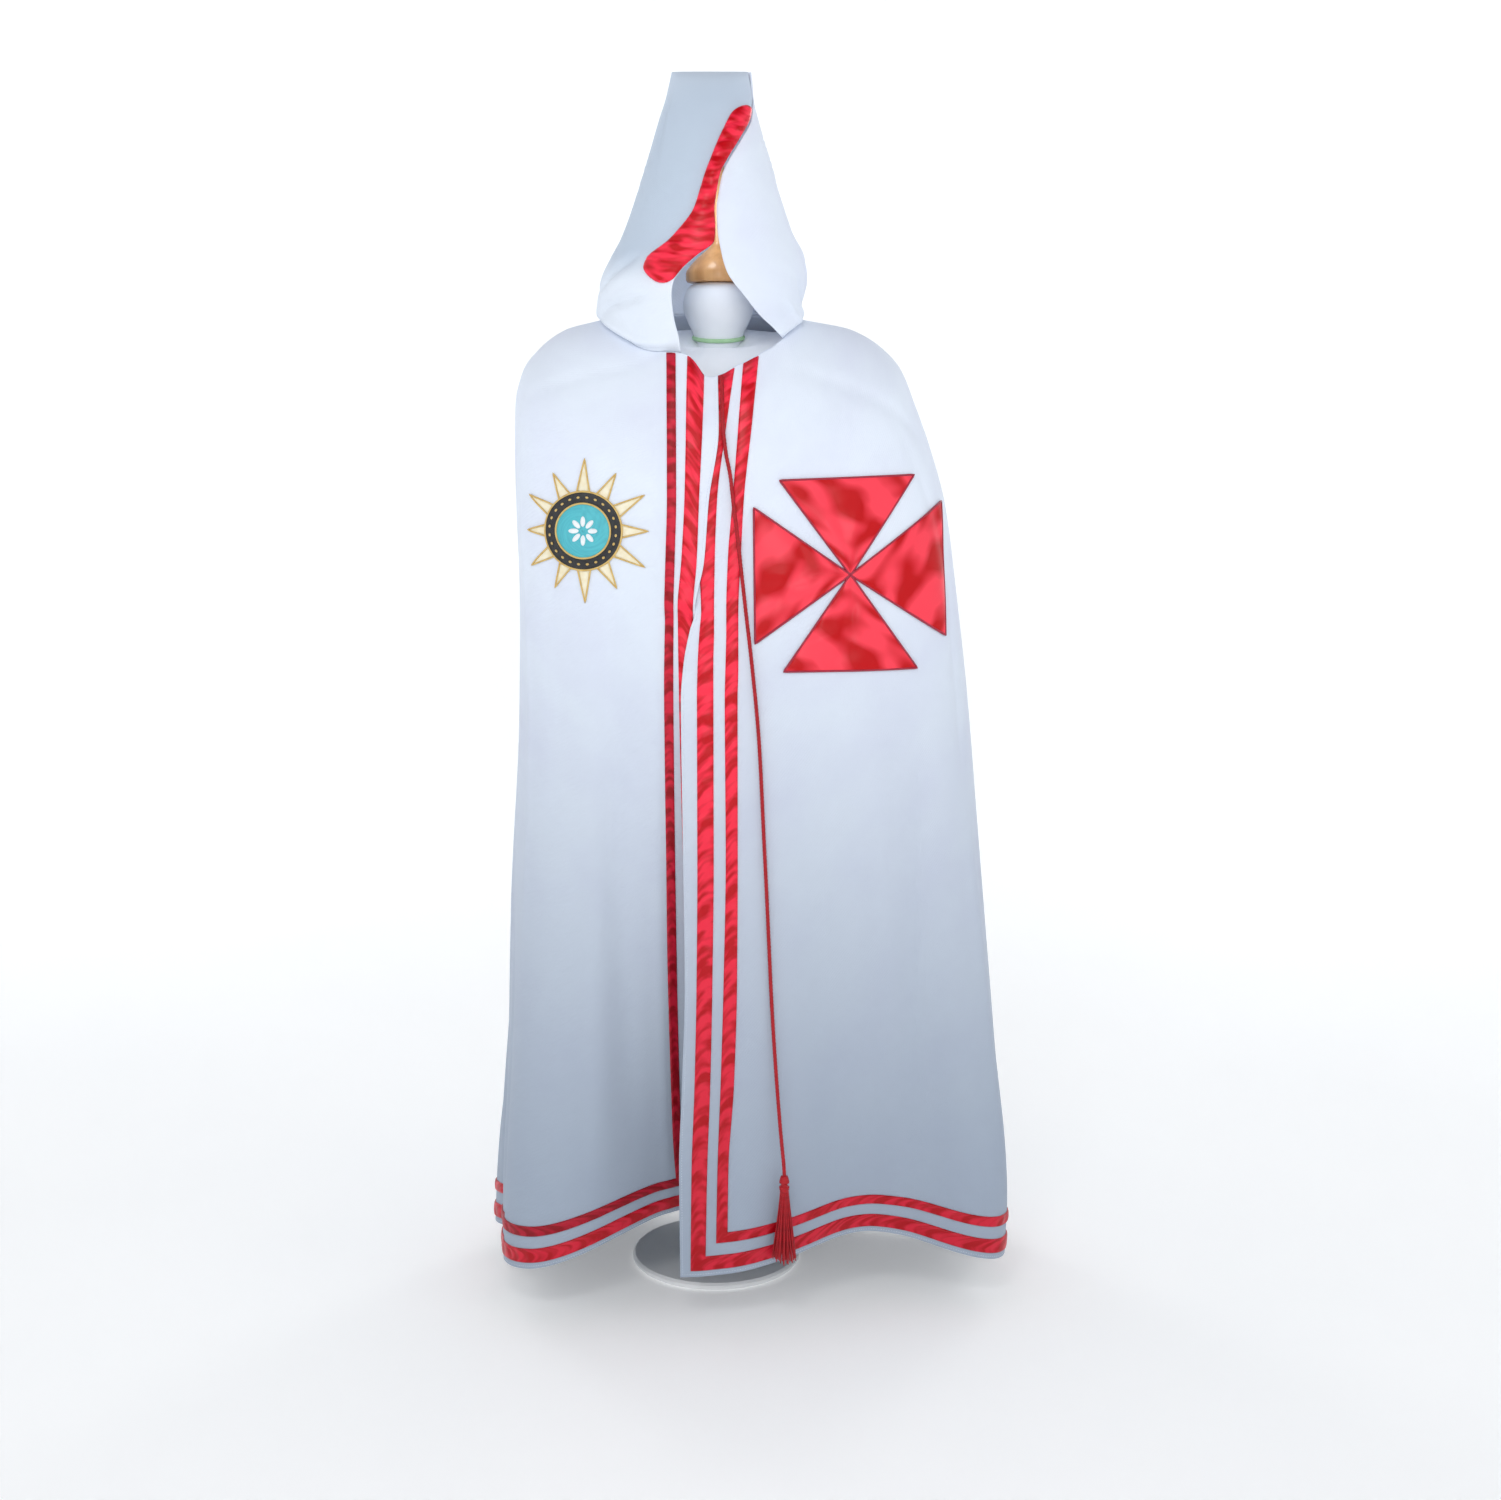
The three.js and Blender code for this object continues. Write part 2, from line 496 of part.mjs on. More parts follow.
const hoodLeftGrid = surfaceGrid(hoodPoint, HOOD_LEVELS, hoodLeftTurns);
const hoodRightGrid = surfaceGrid(hoodPoint, HOOD_LEVELS, hoodRightTurns);
add('hood_left', wall(hoodLeftGrid, -halfCloth, halfCloth), COLOURS.cloth, 0.85);
add('hood_right', wall(hoodRightGrid, -halfCloth, halfCloth), COLOURS.cloth, 0.85);

// The hood's satin band is rolled outwards, so it is thick between its two edges
const bandRowHeight = (row) => HOOD_LEVELS[row] + ringAt(HOOD_RINGS, HOOD_LEVELS[row]).frontRise;
const isHoodBand = (i, j) => (
  j >= HOOD_SIDE_COLUMNS && bandRowHeight(i) <= HOOD_BAND.high + 1 && bandRowHeight(i + 1) >= HOOD_BAND.low
);
const hoodPuff = (i, j) => {
  const across = (j - HOOD_SIDE_COLUMNS) / HOOD_BAND_COLUMNS;
  return BAND_HIGH + HOOD_BAND.puff * Math.sin(Math.PI * clamp01(across));
};
add('hood_band', wall(hoodLeftGrid, BAND_LOW, hoodPuff, isHoodBand), COLOURS.satin, 0.35);

// A grid over a front panel from places given by their x and height, found by stepping towards each
function patchGrid(surface, places) {
  const find = (x, z) => {
    let level = z;
    let turn = turnAtX(ringAt(CAPE_RINGS, level), x);
    for (let pass = 0; pass < 30; pass += 1) {
      const here = surface(level, turn);
      const slope = (surface(level, turn + 1e-3).x - here.x) / 1e-3;
      level += 0.8 * (z - here.z);
      turn += 0.8 * (x - here.x) / slope;
    }
    return [level, turn];
  };
  const found = places.map((row) => row.map(([x, z]) => find(x, z)));
  return {
    points: found.map((row) => row.map(([level, turn]) => surface(level, turn))),
    normals: found.map((row) => row.map(([level, turn]) => outOf(surface, level, turn))),
  };
}

const PATCH_HIGH = PATCH_LIFT + SATIN;

// Cross: each arm widens from its tip by the middle to its outer edge
const ARMS = [
  { name: 'top', degrees: 90, rows: 4, columns: 10 },
  { name: 'left', degrees: 180, rows: 6, columns: 6 },
  { name: 'bottom', degrees: 270, rows: 4, columns: 10 },
  { name: 'right', degrees: 0, rows: 11, columns: 6 },
];
for (const { name, degrees, rows, columns } of ARMS) {
  const along = [Math.cos(radians(degrees)), Math.sin(radians(degrees))];
  const places = spaced(CROSS.reach, CROSS.tip, rows).map((reach) => {
    const t = (reach - CROSS.tip) / (CROSS.reach - CROSS.tip);
    const half = CROSS.halfTip + (CROSS.halfOuter - CROSS.halfTip) * t;
    return spaced(half, -half, columns).map((side) => [
      CROSS.x + along[0] * reach - along[1] * side,
      CROSS.z + along[1] * reach + along[0] * side,
    ]);
  });
  const grid = patchGrid(rightSurface, places);
  add(`cross_arm_${name}`, wall(grid, PATCH_LIFT, PATCH_HIGH), COLOURS.satin, 0.35);
}

// Badge: a dark ring and a round ground about one centre
function loopPlaces(centre, outer, inner, sides) {
  const turns = spaced(0, 2 * Math.PI, sides).slice(0, sides);
  return [outer, inner].map((radius) => turns.map((turn) => [
    centre.x - radius * Math.sin(turn), centre.z + radius * Math.cos(turn),
  ]).reverse());
}

const ringLoop = loopPlaces(BADGE, BADGE.ringOuter, BADGE.ringInner, BADGE.sides);
add('badge_ring', wall(patchGrid(leftSurface, ringLoop), PATCH_LIFT, PATCH_HIGH, undefined, true), COLOURS.dark, 0.7);
const discSteps = 6;
const discPlaces = spaced(1, -1, discSteps).map((v) => spaced(-1, 1, discSteps).map((u) => [
  BADGE.x + BADGE.disc * u * Math.sqrt(1 - v * v / 2), BADGE.z + BADGE.disc * v * Math.sqrt(1 - u * u / 2),
]));
add('badge_disc', wall(patchGrid(leftSurface, discPlaces), PATCH_LIFT, PATCH_HIGH), COLOURS.blue, 0.7);

// Dress form: rings moved in from the cape over the shoulders and chest, then its own
const formTurns = spaced(0, 2 * Math.PI, FORM_SIDES).slice(0, FORM_SIDES);
const formRing = (level) => formTurns.map((turn) => (
  capePoint(level, turn).addScaledVector(outOf(rightSurface, level, turn), -FORM_INSET)
));
const neckRing = (level, radius, tilt) => formTurns.map((turn) => new THREE.Vector3(
  NECK.x + radius * Math.sin(turn), -radius * Math.cos(turn),
  level - (level - NECK.front) * ease(0, 1, (1 + Math.cos(turn)) / 2) * tilt,
));
const torso = stack([
  neckRing(NECK.base, NECK.foot, 0.9),
  neckRing(NECK.base - 4, NECK.foot + 24, 0.9),
  ...FORM_UPPER.map(formRing),
  ...FORM_RINGS.map((ring) => formTurns.map((turn) => ringPoint(ring, turn).point)),
]);
add('form_torso', torso, COLOURS.linen, 0.8);

// A turned solid about an upright axis, from pairs of radius and height
function turned(pairs, sides) {
  const profile = pairs.map(([radius, height]) => new THREE.Vector2(radius, height));
  const geometry = new THREE.LatheGeometry(profile, sides);
  geometry.rotateX(Math.PI / 2);
  return geometry;
}

// The neck is egg-shaped, narrow at its foot, which leans forward with the chest
const neckRings = [
  [NECK.top, NECK.radius - 10, 0], [NECK.top - 4, NECK.radius - 5, 0], [NECK.top - 10, NECK.radius - 1.5, 0],
  [NECK.top - 20, NECK.radius, 0], [NECK.top - 29, NECK.radius - 2, 0.2], [NECK.base + 11, NECK.foot + 5, 0.5],
];
const neckFoot = neckRing(NECK.base, NECK.foot, 0.9).map((point) => point.setZ(point.z + SEAM));
add('form_neck', stack([...neckRings.map((ring) => neckRing(...ring)), neckFoot]), COLOURS.linen, 0.8);

const capFoot = NECK.top + SEAM;
const cap = add('form_cap', turned([
  [0, capFoot], [NECK.radius - 10, capFoot], [NECK.radius - 6, capFoot + 4], [NECK.radius - 6, capFoot + CAP.thick],
  [NECK.radius - 14, capFoot + CAP.thick + 8], [CAP.spindle + 6, capFoot + CAP.height - 12],
  [CAP.spindle, capFoot + CAP.height], [CAP.spindle - 1, CAP.spindleTop], [0, CAP.spindleTop],
], 20), COLOURS.wood, 0.5);
cap.position.x = NECK.x;

const restLength = HOOD_REST.length / 2;
const rest = turned([
  [0, -restLength], [HOOD_REST.radius * 0.7, -restLength + 1], [HOOD_REST.radius, -restLength + 5],
  [HOOD_REST.radius, restLength - 5], [HOOD_REST.radius * 0.7, restLength - 1], [0, restLength],
], 12);
rest.rotateY(Math.PI / 2);
add('hood_rest', rest, COLOURS.wood, 0.5).position.set(0, 0, CAP.spindleTop + SEAM + HOOD_REST.radius);

const poleFoot = BASE.thick + SEAM;
const poleTop = 640 - SEAM;
add('stand_pole', turned([
  [0, poleFoot], [POLE.radius + 16, poleFoot], [POLE.radius + 14, poleFoot + 8], [POLE.radius, poleFoot + 22],
  [POLE.radius, poleTop], [0, poleTop],
], 20), COLOURS.steel, 0.4, 0.2).position.y = POLE.y;

const baseEdge = BASE.radius - BASE.bevel;
add('stand_base', turned([
  [0, 0], [baseEdge, 0], [BASE.radius, BASE.bevel], [BASE.radius, BASE.thick - BASE.bevel],
  [baseEdge, BASE.thick], [0, BASE.thick],
], 40), COLOURS.steel, 0.4, 0.2).position.y = POLE.y;

// Neck cord
const route = new THREE.CatmullRomCurve3(CORD_ROUTE.map((place) => new THREE.Vector3(...place)));
const cordSection = new THREE.Shape(spaced(0, 2 * Math.PI, 8).slice(0, 8).map((turn) => (
  new THREE.Vector2(CORD_DIAMETER / 2 * Math.cos(turn), CORD_DIAMETER / 2 * Math.sin(turn))
)));
const cord = new THREE.ExtrudeGeometry(cordSection, { steps: 56, extrudePath: route, curveSegments: 1 });
add('neck_cord', cord, COLOURS.satin, 0.5);

// Tassel: a head with strands whose roots are joined to it
function solid(geometry) {
  geometry.deleteAttribute('normal');
  geometry.deleteAttribute('uv');
  const merged = mergeVertices(geometry, 1e-4);
  return new wasm.Manifold(new wasm.Mesh({
    numProp: 3,
    vertProperties: new Float32Array(merged.attributes.position.array),
    triVerts: new Uint32Array(merged.index.array),
  }));
}

function strand(turn, rootRadius, endRadius) {
  const across = (radius, height, size) => [0, 1, 2].map((k) => {
    const spin = turn + k * 2 * Math.PI / 3;
    return new THREE.Vector3(
      radius * Math.cos(turn) + size * Math.cos(spin), radius * Math.sin(turn) + size * Math.sin(spin), height,
    );
  });
  const bottom = -TASSEL.bottom;
  const root = -TASSEL.headHeight + 5;
  const size = TASSEL.strand / 2;
  return stack([
    across(rootRadius, root, size * 0.5), across(rootRadius * 1.25, -TASSEL.headHeight - 6, size * 0.6),
    across(endRadius * 0.78, 0.55 * bottom, size), across(endRadius, bottom, size),
  ]);
}

const tasselEnd = CORD_ROUTE[CORD_ROUTE.length - 1];
const head = turned([
  [0, -TASSEL.headHeight], [TASSEL.head * 0.9, -TASSEL.headHeight], [TASSEL.head, -TASSEL.headHeight + 6],
  [TASSEL.neck, -TASSEL.headHeight + 10], [TASSEL.head * 0.95, -TASSEL.headHeight + 15],
  [TASSEL.neck, -1], [0, 0],
], 16);
let tassel = solid(head);
TASSEL.rings.forEach((count, ring) => {
  for (let k = 0; k < count; k += 1) {
    const turn = 2 * Math.PI * (k + 0.5 * (ring % 2)) / count;
    const share = (ring + 1) / TASSEL.rings.length;
    tassel = tassel.add(solid(strand(turn, TASSEL.head * 0.78 * share, TASSEL.spread * share)));
  }
});
const tasselMesh = tassel.getMesh();
const tasselGeometry = new THREE.BufferGeometry();
tasselGeometry.setAttribute('position', new THREE.Float32BufferAttribute(tasselMesh.vertProperties, 3));
tasselGeometry.setIndex([...tasselMesh.triVerts]);
add('tassel', tasselGeometry, COLOURS.satin, 0.5).position.set(tasselEnd[0], tasselEnd[1], tasselEnd[2] - SEAM);

export default part;
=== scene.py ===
"""A hooded ceremonial cape on a limbless dress form, made and dressed in Blender.

The tables below repeat the sizes of the CAD model, in millimetres. The front looks along -Y and the
origin is on the floor. A turn is measured round the upright axis from centre front: it grows towards
the viewer's right, and the back seam is at 180 degrees.
"""
import logging
import math
from collections.abc import Callable
from dataclasses import dataclass, field
from enum import Enum

import bpy
import numpy as np
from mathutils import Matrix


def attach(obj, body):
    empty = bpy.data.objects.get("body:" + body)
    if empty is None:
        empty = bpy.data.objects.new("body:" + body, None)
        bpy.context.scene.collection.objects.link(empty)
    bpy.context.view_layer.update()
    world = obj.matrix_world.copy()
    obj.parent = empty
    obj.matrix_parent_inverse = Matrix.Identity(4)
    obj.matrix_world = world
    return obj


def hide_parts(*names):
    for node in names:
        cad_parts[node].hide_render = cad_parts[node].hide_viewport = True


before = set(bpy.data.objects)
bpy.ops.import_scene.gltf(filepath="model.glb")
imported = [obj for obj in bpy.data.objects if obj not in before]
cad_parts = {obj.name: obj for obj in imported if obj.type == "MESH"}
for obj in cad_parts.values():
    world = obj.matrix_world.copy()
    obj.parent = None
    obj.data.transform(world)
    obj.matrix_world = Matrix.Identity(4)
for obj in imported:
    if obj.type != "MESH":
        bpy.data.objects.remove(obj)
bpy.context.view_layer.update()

LOG = logging.getLogger("cape")
MM = 0.001
Grid = np.ndarray
Piece = bpy.types.Object
MeshData = tuple[Grid, Grid, Grid]

CLOTH_HALF = 1.1        # half of the lined wool's thickness
SEAM_GAP = 0.3          # space between two panels at a seam
BAND_LOW = 1.4          # underside of a satin band, from the middle of its panel
BAND_HIGH = 2.6         # its face, before it puffs
PATCH_LOW = 2.0         # underside of an applied patch
PATCH_HIGH = 3.2        # its face
UV_STEP = 7.0           # shift of a piece's cloth lengths for each letter of its name
EDGE_SHARE = 0.45       # share of a panel's thickness at its borders, which rounds them
LATHE_CLOTH = 40.0      # length round a turned piece that one radian stands for in its UV map
HEM_LEVEL = 32.0        # height of the hem at the sides
NECK_LEVEL = 1278.0     # height of the neck seam at the sides
CROWN_LEVEL = 1583.0    # height of the hood's crown
LAP_LEVELS = (902, 932)  # heights between which the fronts change places
LAP_OUT = 6.0           # how far the left front lies over or under the right one there
TUCK_LEVEL = 916.0      # height below which the left front is drawn in under the right one
TUCK_IN = 104.0         # how far, at the hem
TUCK_RISE = 20.0        # how much its hem rises there
DROOP_DOWN = 8.0        # how far the hood's foot hangs over its neck seam
DROOP_OUT = 9.0         # how far it stands out there
DEGREE_LENGTH = 5.0     # length that creases take for one degree of turn
TURN_STEP = 1e-3        # turn over which slopes are measured
LEVEL_STEP = 0.5        # height over which slopes are measured
SEARCH_SHARE = 0.8      # share of the error that one round of a search takes away
SIDE = math.pi / 2      # turn of a side seam

# level, front rise, back rise, left, right, front, back, squareness
CAPE_RINGS = [
    (1278, -71, 12, 138, 110, 98, 84, 2.0),
    (1265, -98, -8, 188, 176, 118, 106, 2.2),
    (1240, -110, -20, 223, 218, 130, 121, 2.6),
    (1215, -113, -24, 242, 240, 137, 129, 3.0),
    (1177, -108, -26, 251, 256, 142, 136, 3.3),
    (1120, -95, -24, 252, 277, 147, 142, 3.5),
    (1049, -78, -20, 251, 297, 151, 148, 3.6),
    (945, -50, -14, 249, 312, 156, 154, 3.5),
    (786, -22, -6, 253, 332, 163, 162, 3.1),
    (570, 2, 0, 264, 352, 173, 174, 2.8),
    (348, 22, 2, 276, 370, 184, 186, 2.6),
    (119, 38, 4, 290, 384, 196, 198, 2.5),
    (32, 50, 6, 291, 380, 200, 202, 2.5),
]
HOOD_RINGS = [
    (1278, -71, 12, 138, 110, 98, 84, 2.0),
    (1303, -66, 12, 147, 114, 105, 98, 2.0),
    (1328, -58, 10, 142, 116, 109, 106, 2.0),
    (1353, -50, 8, 130, 112, 110, 110, 2.1),
    (1378, -42, 6, 116, 103, 107, 110, 2.1),
    (1427, -28, 2, 97, 86, 96, 100, 2.2),
    (1476, -15, 0, 81, 70, 77, 82, 2.3),
    (1525, -6, 0, 66, 55, 51, 56, 2.4),
    (1549, -3, 0, 58, 51, 36, 40, 2.5),
    (1574, 0, 0, 52, 49, 15, 17, 2.5),
    (1583, 0, 0, 50, 48, 1.7, 1.7, 2.5),
]
FORM_RINGS = [
    (1205, -96, -30, 205, 203, 130, 122, 2.5),
    (1160, -84, -30, 176, 178, 132, 124, 2.3),
    (1090, -60, -24, 164, 166, 132, 120, 2.2),
    (1000, -20, -10, 148, 150, 120, 106, 2.1),
    (900, 0, 0, 134, 136, 104, 96, 2.1),
    (800, 0, 0, 150, 152, 110, 108, 2.1),
    (720, 0, 0, 164, 166, 116, 118, 2.1),
    (655, 0, 0, 160, 162, 114, 116, 2.1),
    (640, 0, 0, 150, 152, 106, 108, 2.1),
]

# The largest folds: turn in degrees, spread, out and rise at the hem, height where it starts
CAPE_FOLDS = [
    (-50, 24, 24, -8, 860),
    (-84, 15, -22, 4, 640),
    (33, 30, -62, 12, 820),
    (62, 20, 30, -6, 760),
    (88, 13, -20, 3, 560),
    (114, 20, 26, -4, 820),
    (140, 19, -34, 6, 900),
    (163, 17, 22, -4, 760),
    (186, 17, -36, 6, 960),
    (209, 17, 24, -4, 800),
    (232, 18, -30, 5, 860),
    (254, 17, 24, -4, 700),
]

# Turn in degrees, then how far the hem is drawn up on the left front and on the rest
HEM_LIFT = [
    (-125, 0, 0), (-90, 16, 16), (-55, 16, 10), (-15, 13, -14), (-5, 12, -14), (13, 12, 0), (35, 12, 17),
    (62, 12, 20), (90, 12, 22), (125, 0, 0),
]
HEM_LIFT_TOP = 520.0

# Radius and height from the foot up, for the form's neck and for its wooden cap with the spindle
NECK_PROFILE = [
    (29, 1236), (29.5, 1250), (33, 1262), (39, 1274), (44.5, 1288), (45.4, 1296), (44, 1306), (41, 1314),
    (37, 1319.5), (32, 1323), (24, 1324),
]
CAP_PROFILE = [
    (37, 1324.3), (40.4, 1325.4), (41.6, 1328), (41.6, 1336), (40.8, 1339), (38, 1343), (33, 1349),
    (27, 1355), (20, 1361), (14, 1366), (10.4, 1370), (8, 1375), (8, 1440), (7.2, 1500), (7, 1555),
    (6.2, 1556),
]

# height, narrow outer, narrow inner, broad outer, broad inner, front edge
LEFT_STRIPES = [
    (1220, -54, -43, -29, -9, 7),
    (1140, -54, -43, -31, -11, 9),
    (1054, -54, -43, -33, -15, -3),
    (980, -56, -45, -37, -18, -9),
    (916, -58, -47, -42, -23, -20.5),
    (806, -60, -48, -41, -22, -14),
    (615, -60, -48, -38, -18, -6),
    (449, -61, -48, -34, -14, 0),
    (218, -60, -47, -28, -8, 8),
    (60, -53, -41, -27, -7, 10),
]
RIGHT_STRIPES = [
    (1220, 60, 40, 31, 5, -6),
    (1140, 50, 33, 18, -4, -15),
    (1054, 40, 26, 7, -13, -23),
    (980, 36, 20, 4, -15, -23),
    (916, 33, 18, 3, -13, -21),
    (894, 33, 18, 3, -15, -27),
    (852, 33, 17, 2, -17.5, -35),
    (806, 32, 16, 2, -18.5, -38.5),
    (615, 32, 17, 2, -18.5, -36.5),
    (449, 31, 14, 0, -20, -35),
    (321, 27, 10, -3, -23, -39),
    (218, 20, 6, -7, -27, -43),
    (70, 18, 3, -10, -29, -42),
]
# height, outer edge of the rolled band, edge of the opening
HOOD_LEFT_EDGE = [
    (1583, 30, 44.5), (1546, 33, 49), (1521, 21, 46), (1492, 8, 33), (1469, -1, 20), (1450, -8, 11),
    (1430, -14, 7), (1406, -22, 4), (1382, -40, 5), (1368, -54, 4), (1349, -79, -19), (1334, -84, -36),
    (1318, -80, -47), (1303, -72, -49), (1237, -64, -40), (1200, -60, -37),
]
HOOD_RIGHT_EDGE = [
    (1583, 47.9), (1546, 51), (1521, 48.5), (1492, 35.5), (1469, 22.5), (1450, 13.5), (1430, 9.5),
    (1406, 6.5), (1382, 7.5), (1355, 12), (1331, 19), (1300, 42), (1275, 63), (1246, 92), (1200, 96),
]
# Name, direction in degrees and random seed of each arm
CROSS_ARMS = [("top", 92, 3), ("left", 180.6, 4), ("bottom", 270.6, 5), ("right", 2, 6)]
# The cord's centreline, a list of places
CORD_ROUTE = [
    (12, -105.8, 1204), (13, -114.2, 1188), (13, -124.4, 1166), (14, -132, 1145), (18, -140.5, 1110),
    (23, -145.5, 1085), (27, -152, 1050), (32, -156, 1010), (37, -158, 965), (42, -161, 920),
    (50, -165, 850), (58, -168, 765), (65, -174, 630), (68, -176, 570), (75, -181, 420), (80, -185, 340),
    (86, -192, 262), (90.5, -198, 214), (91, -199, 203),
]


class Part(Enum):
    """The three panels of the cape's body."""

    LEFT = "left"
    RIGHT = "right"
    BACK = "back"


class Slot(Enum):
    """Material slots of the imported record."""

    CLOTH = "cloth"
    SATIN = "satin"
    DARK_THREAD = "dark_thread"
    BLUE_THREAD = "blue_thread"
    CORD = "cord"
    LINEN = "linen"
    WOOD = "wood"
    STEEL = "white_steel"


def ease(low: float, high: float, value: Grid) -> Grid:
    """Smooth step from 0 at low to 1 at high."""
    t = np.clip((value - low) / (high - low), 0.0, 1.0)
    return t * t * (3 - 2 * t)


def wrapped(degrees: Grid) -> Grid:
    """Degrees brought between -180 and 180."""
    return (degrees + 180) % 360 - 180


def smooth_value(keys: Grid, values: Grid, at: Grid) -> Grid:
    """Value of a table column, smooth and with no overshoot between its rows.

    Args:
        keys: ascending keys of the rows.
        values: the column.
        at: keys to look up, held within the table.

    Returns:
        The column's value at each key.
    """
    at = np.clip(at, keys[0], keys[-1])
    k = np.clip(np.searchsorted(keys, at, side="right") - 1, 0, len(keys) - 2)
    secant = np.diff(values) / np.diff(keys)
    product = secant[:-1] * secant[1:]
    total = np.where(product > 0, secant[:-1] + secant[1:], 1.0)
    inner = np.where(product > 0, 2 * product / total, 0.0)
    slope = np.concatenate([secant[:1], inner, secant[-1:]])
    span = keys[k + 1] - keys[k]
    t = (at - keys[k]) / span
    start = (2 * t**3 - 3 * t**2 + 1) * values[k] + (t**3 - 2 * t**2 + t) * span * slope[k]
    return start + (3 * t**2 - 2 * t**3) * values[k + 1] + (t**3 - t**2) * span * slope[k + 1]


class Table:
    """Rows of numbers looked up by their first column."""

    def __init__(self, rows: list[tuple[float, ...]]) -> None:
        """Sorts the rows by their key."""
        table = np.array(sorted(rows), float)
        self.keys = table[:, 0]
        self.columns = table[:, 1:]

    def at(self, key: Grid, number: int) -> Grid:
        """Value of one column, counted from the one after the key."""
        return smooth_value(self.keys, self.columns[:, number], key)


class Rings(Table):
    """Rings of one surface, from which every place on it is worked out."""

    def point(self, level: Grid, turn: Grid) -> tuple[Grid, Grid]:
        """Places on the rings and their level directions outwards.

        Args:
            level: heights at the sides.
            turn: turns from centre front, in radians.

        Returns:
            The places and the directions, each with a last axis of three.
        """
        front_rise, back_rise, left, right, front, back, power = (self.at(level, k) for k in range(7))
        s = np.sin(turn)
        c = np.cos(turn)
        size = (np.abs(s) ** power + np.abs(c) ** power) ** (1 / power)
        half = np.where(s < 0, left, right)
        depth = np.where(c > 0, front, back)
        rise = np.where(c > 0, front_rise, back_rise) * c * c
        place = np.stack([half * s / size, -depth * c / size, level + rise], axis=-1)
        out_x = np.sign(s) * (np.abs(s) / size) ** (power - 1) / half
        out_y = -np.sign(c) * (np.abs(c) / size) ** (power - 1) / depth
        out = np.stack([out_x, out_y, np.zeros_like(out_x)], axis=-1)
        return place, out / np.linalg.norm(out, axis=-1, keepdims=True)

    def turn_at(self, level: Grid, x: Grid) -> Grid:
        """Turn at which the front of a ring has a given x."""
        half = np.where(x < 0, self.at(level, 2), self.at(level, 3))
        power = self.at(level, 6)
        q = np.minimum(0.9995, np.abs(x) / half) ** power
        return np.sign(x) * np.arctan((q / (1 - q)) ** (1 / power))


@dataclass(frozen=True)
class Crease:
    """One soft trough or ridge pressed into a panel.

    The ends are turns in degrees and heights. A bow bends its line sideways, and out is below zero
    for a trough.
    """

    turn_a: float
    z_a: float
    turn_b: float
    z_b: float
    width: float
    out: float
    bow: float = 0.0

    def depth(self, degrees: Grid, z: Grid) -> Grid:
        """How far the crease moves each place."""
        across = wrapped(degrees - self.turn_a) * DEGREE_LENGTH
        along = np.array([wrapped(self.turn_b - self.turn_a) * DEGREE_LENGTH, self.z_b - self.z_a])
        length = float(np.hypot(*along))
        along = along / length
        t = (across * along[0] + (z - self.z_a) * along[1]) / length
        side = across * along[1] - (z - self.z_a) * along[0]
        side = side - self.bow * np.sin(math.pi * np.clip(t, 0, 1))
        fade = ease(-0.12, 0.3, t) * (1 - ease(0.7, 1.12, t))
        return self.out * np.exp(-((side / self.width) ** 2)) * fade


CAPE_CREASES = [Crease(*row) for row in (
    # Left front: a long soft fold beside the bands, one from the shoulder, and small ones by the seam
    (-26, 1010, -23, 150, 22, -5.5, 10),
    (-32, 900, -31, 60, 20, 5.0, -6),
    (-44, 1120, -40, 640, 15, -2.6, 8),
    (-64, 1180, -70, 760, 9, -3.2, 6),
    (-58, 1090, -55, 420, 12, 2.4, -8),
    (-72, 700, -78, 40, 12, 4.2, 5),
    (-66, 520, -62, 40, 11, -4.0, -5),
    (-14, 640, -12, 60, 13, 2.4, 3),
    (-24, 1225, -60, 1180, 12, -2.2, 6),
    # Right front: shallow folds down from the chest, and the small puckered fold at the hem's end
    (22, 760, 26, 60, 24, -6.0, 8),
    (30, 900, 38, 80, 17, 4.6, -10),
    (44, 820, 50, 60, 20, -5.2, 9),
    (53, 1150, 60, 620, 12, -2.8, -8),
    (60, 700, 68, 70, 14, 4.6, 7),
    (72, 980, 80, 300, 10, -3.6, -6),
    (36, 1215, 66, 1120, 16, -2.6, -8),
    (75, 128, 84, 60, 7, 8.0, 4),
    (72, 92, 88, 96, 5, -5.0, 2),
    (80, 72, 90, 30, 5, 6.5, -2),
    # Back: drawn folds from the shoulder blades, uneven in depth and length
    (112, 1170, 126, 700, 15, -3.4, 10),
    (128, 900, 132, 60, 17, -6.4, 8),
    (146, 1080, 151, 120, 15, 5.2, -9),
    (158, 1180, 172, 780, 13, -3.0, -10),
    (172, 840, 176, 60, 16, -5.4, 7),
    (196, 980, 193, 90, 14, 5.6, 6),
    (205, 1160, 220, 840, 14, -3.2, 9),
    (222, 800, 219, 50, 17, -6.0, -8),
    (240, 1110, 236, 210, 13, 4.2, 7),
    (250, 660, 262, 60, 13, -4.4, 6),
    (262, 1150, 268, 760, 9, -2.8, -4),
    (100, 980, 96, 420, 10, 3.2, 5),
    (140, 1236, 220, 1236, 11, -2.6, -6),
)]
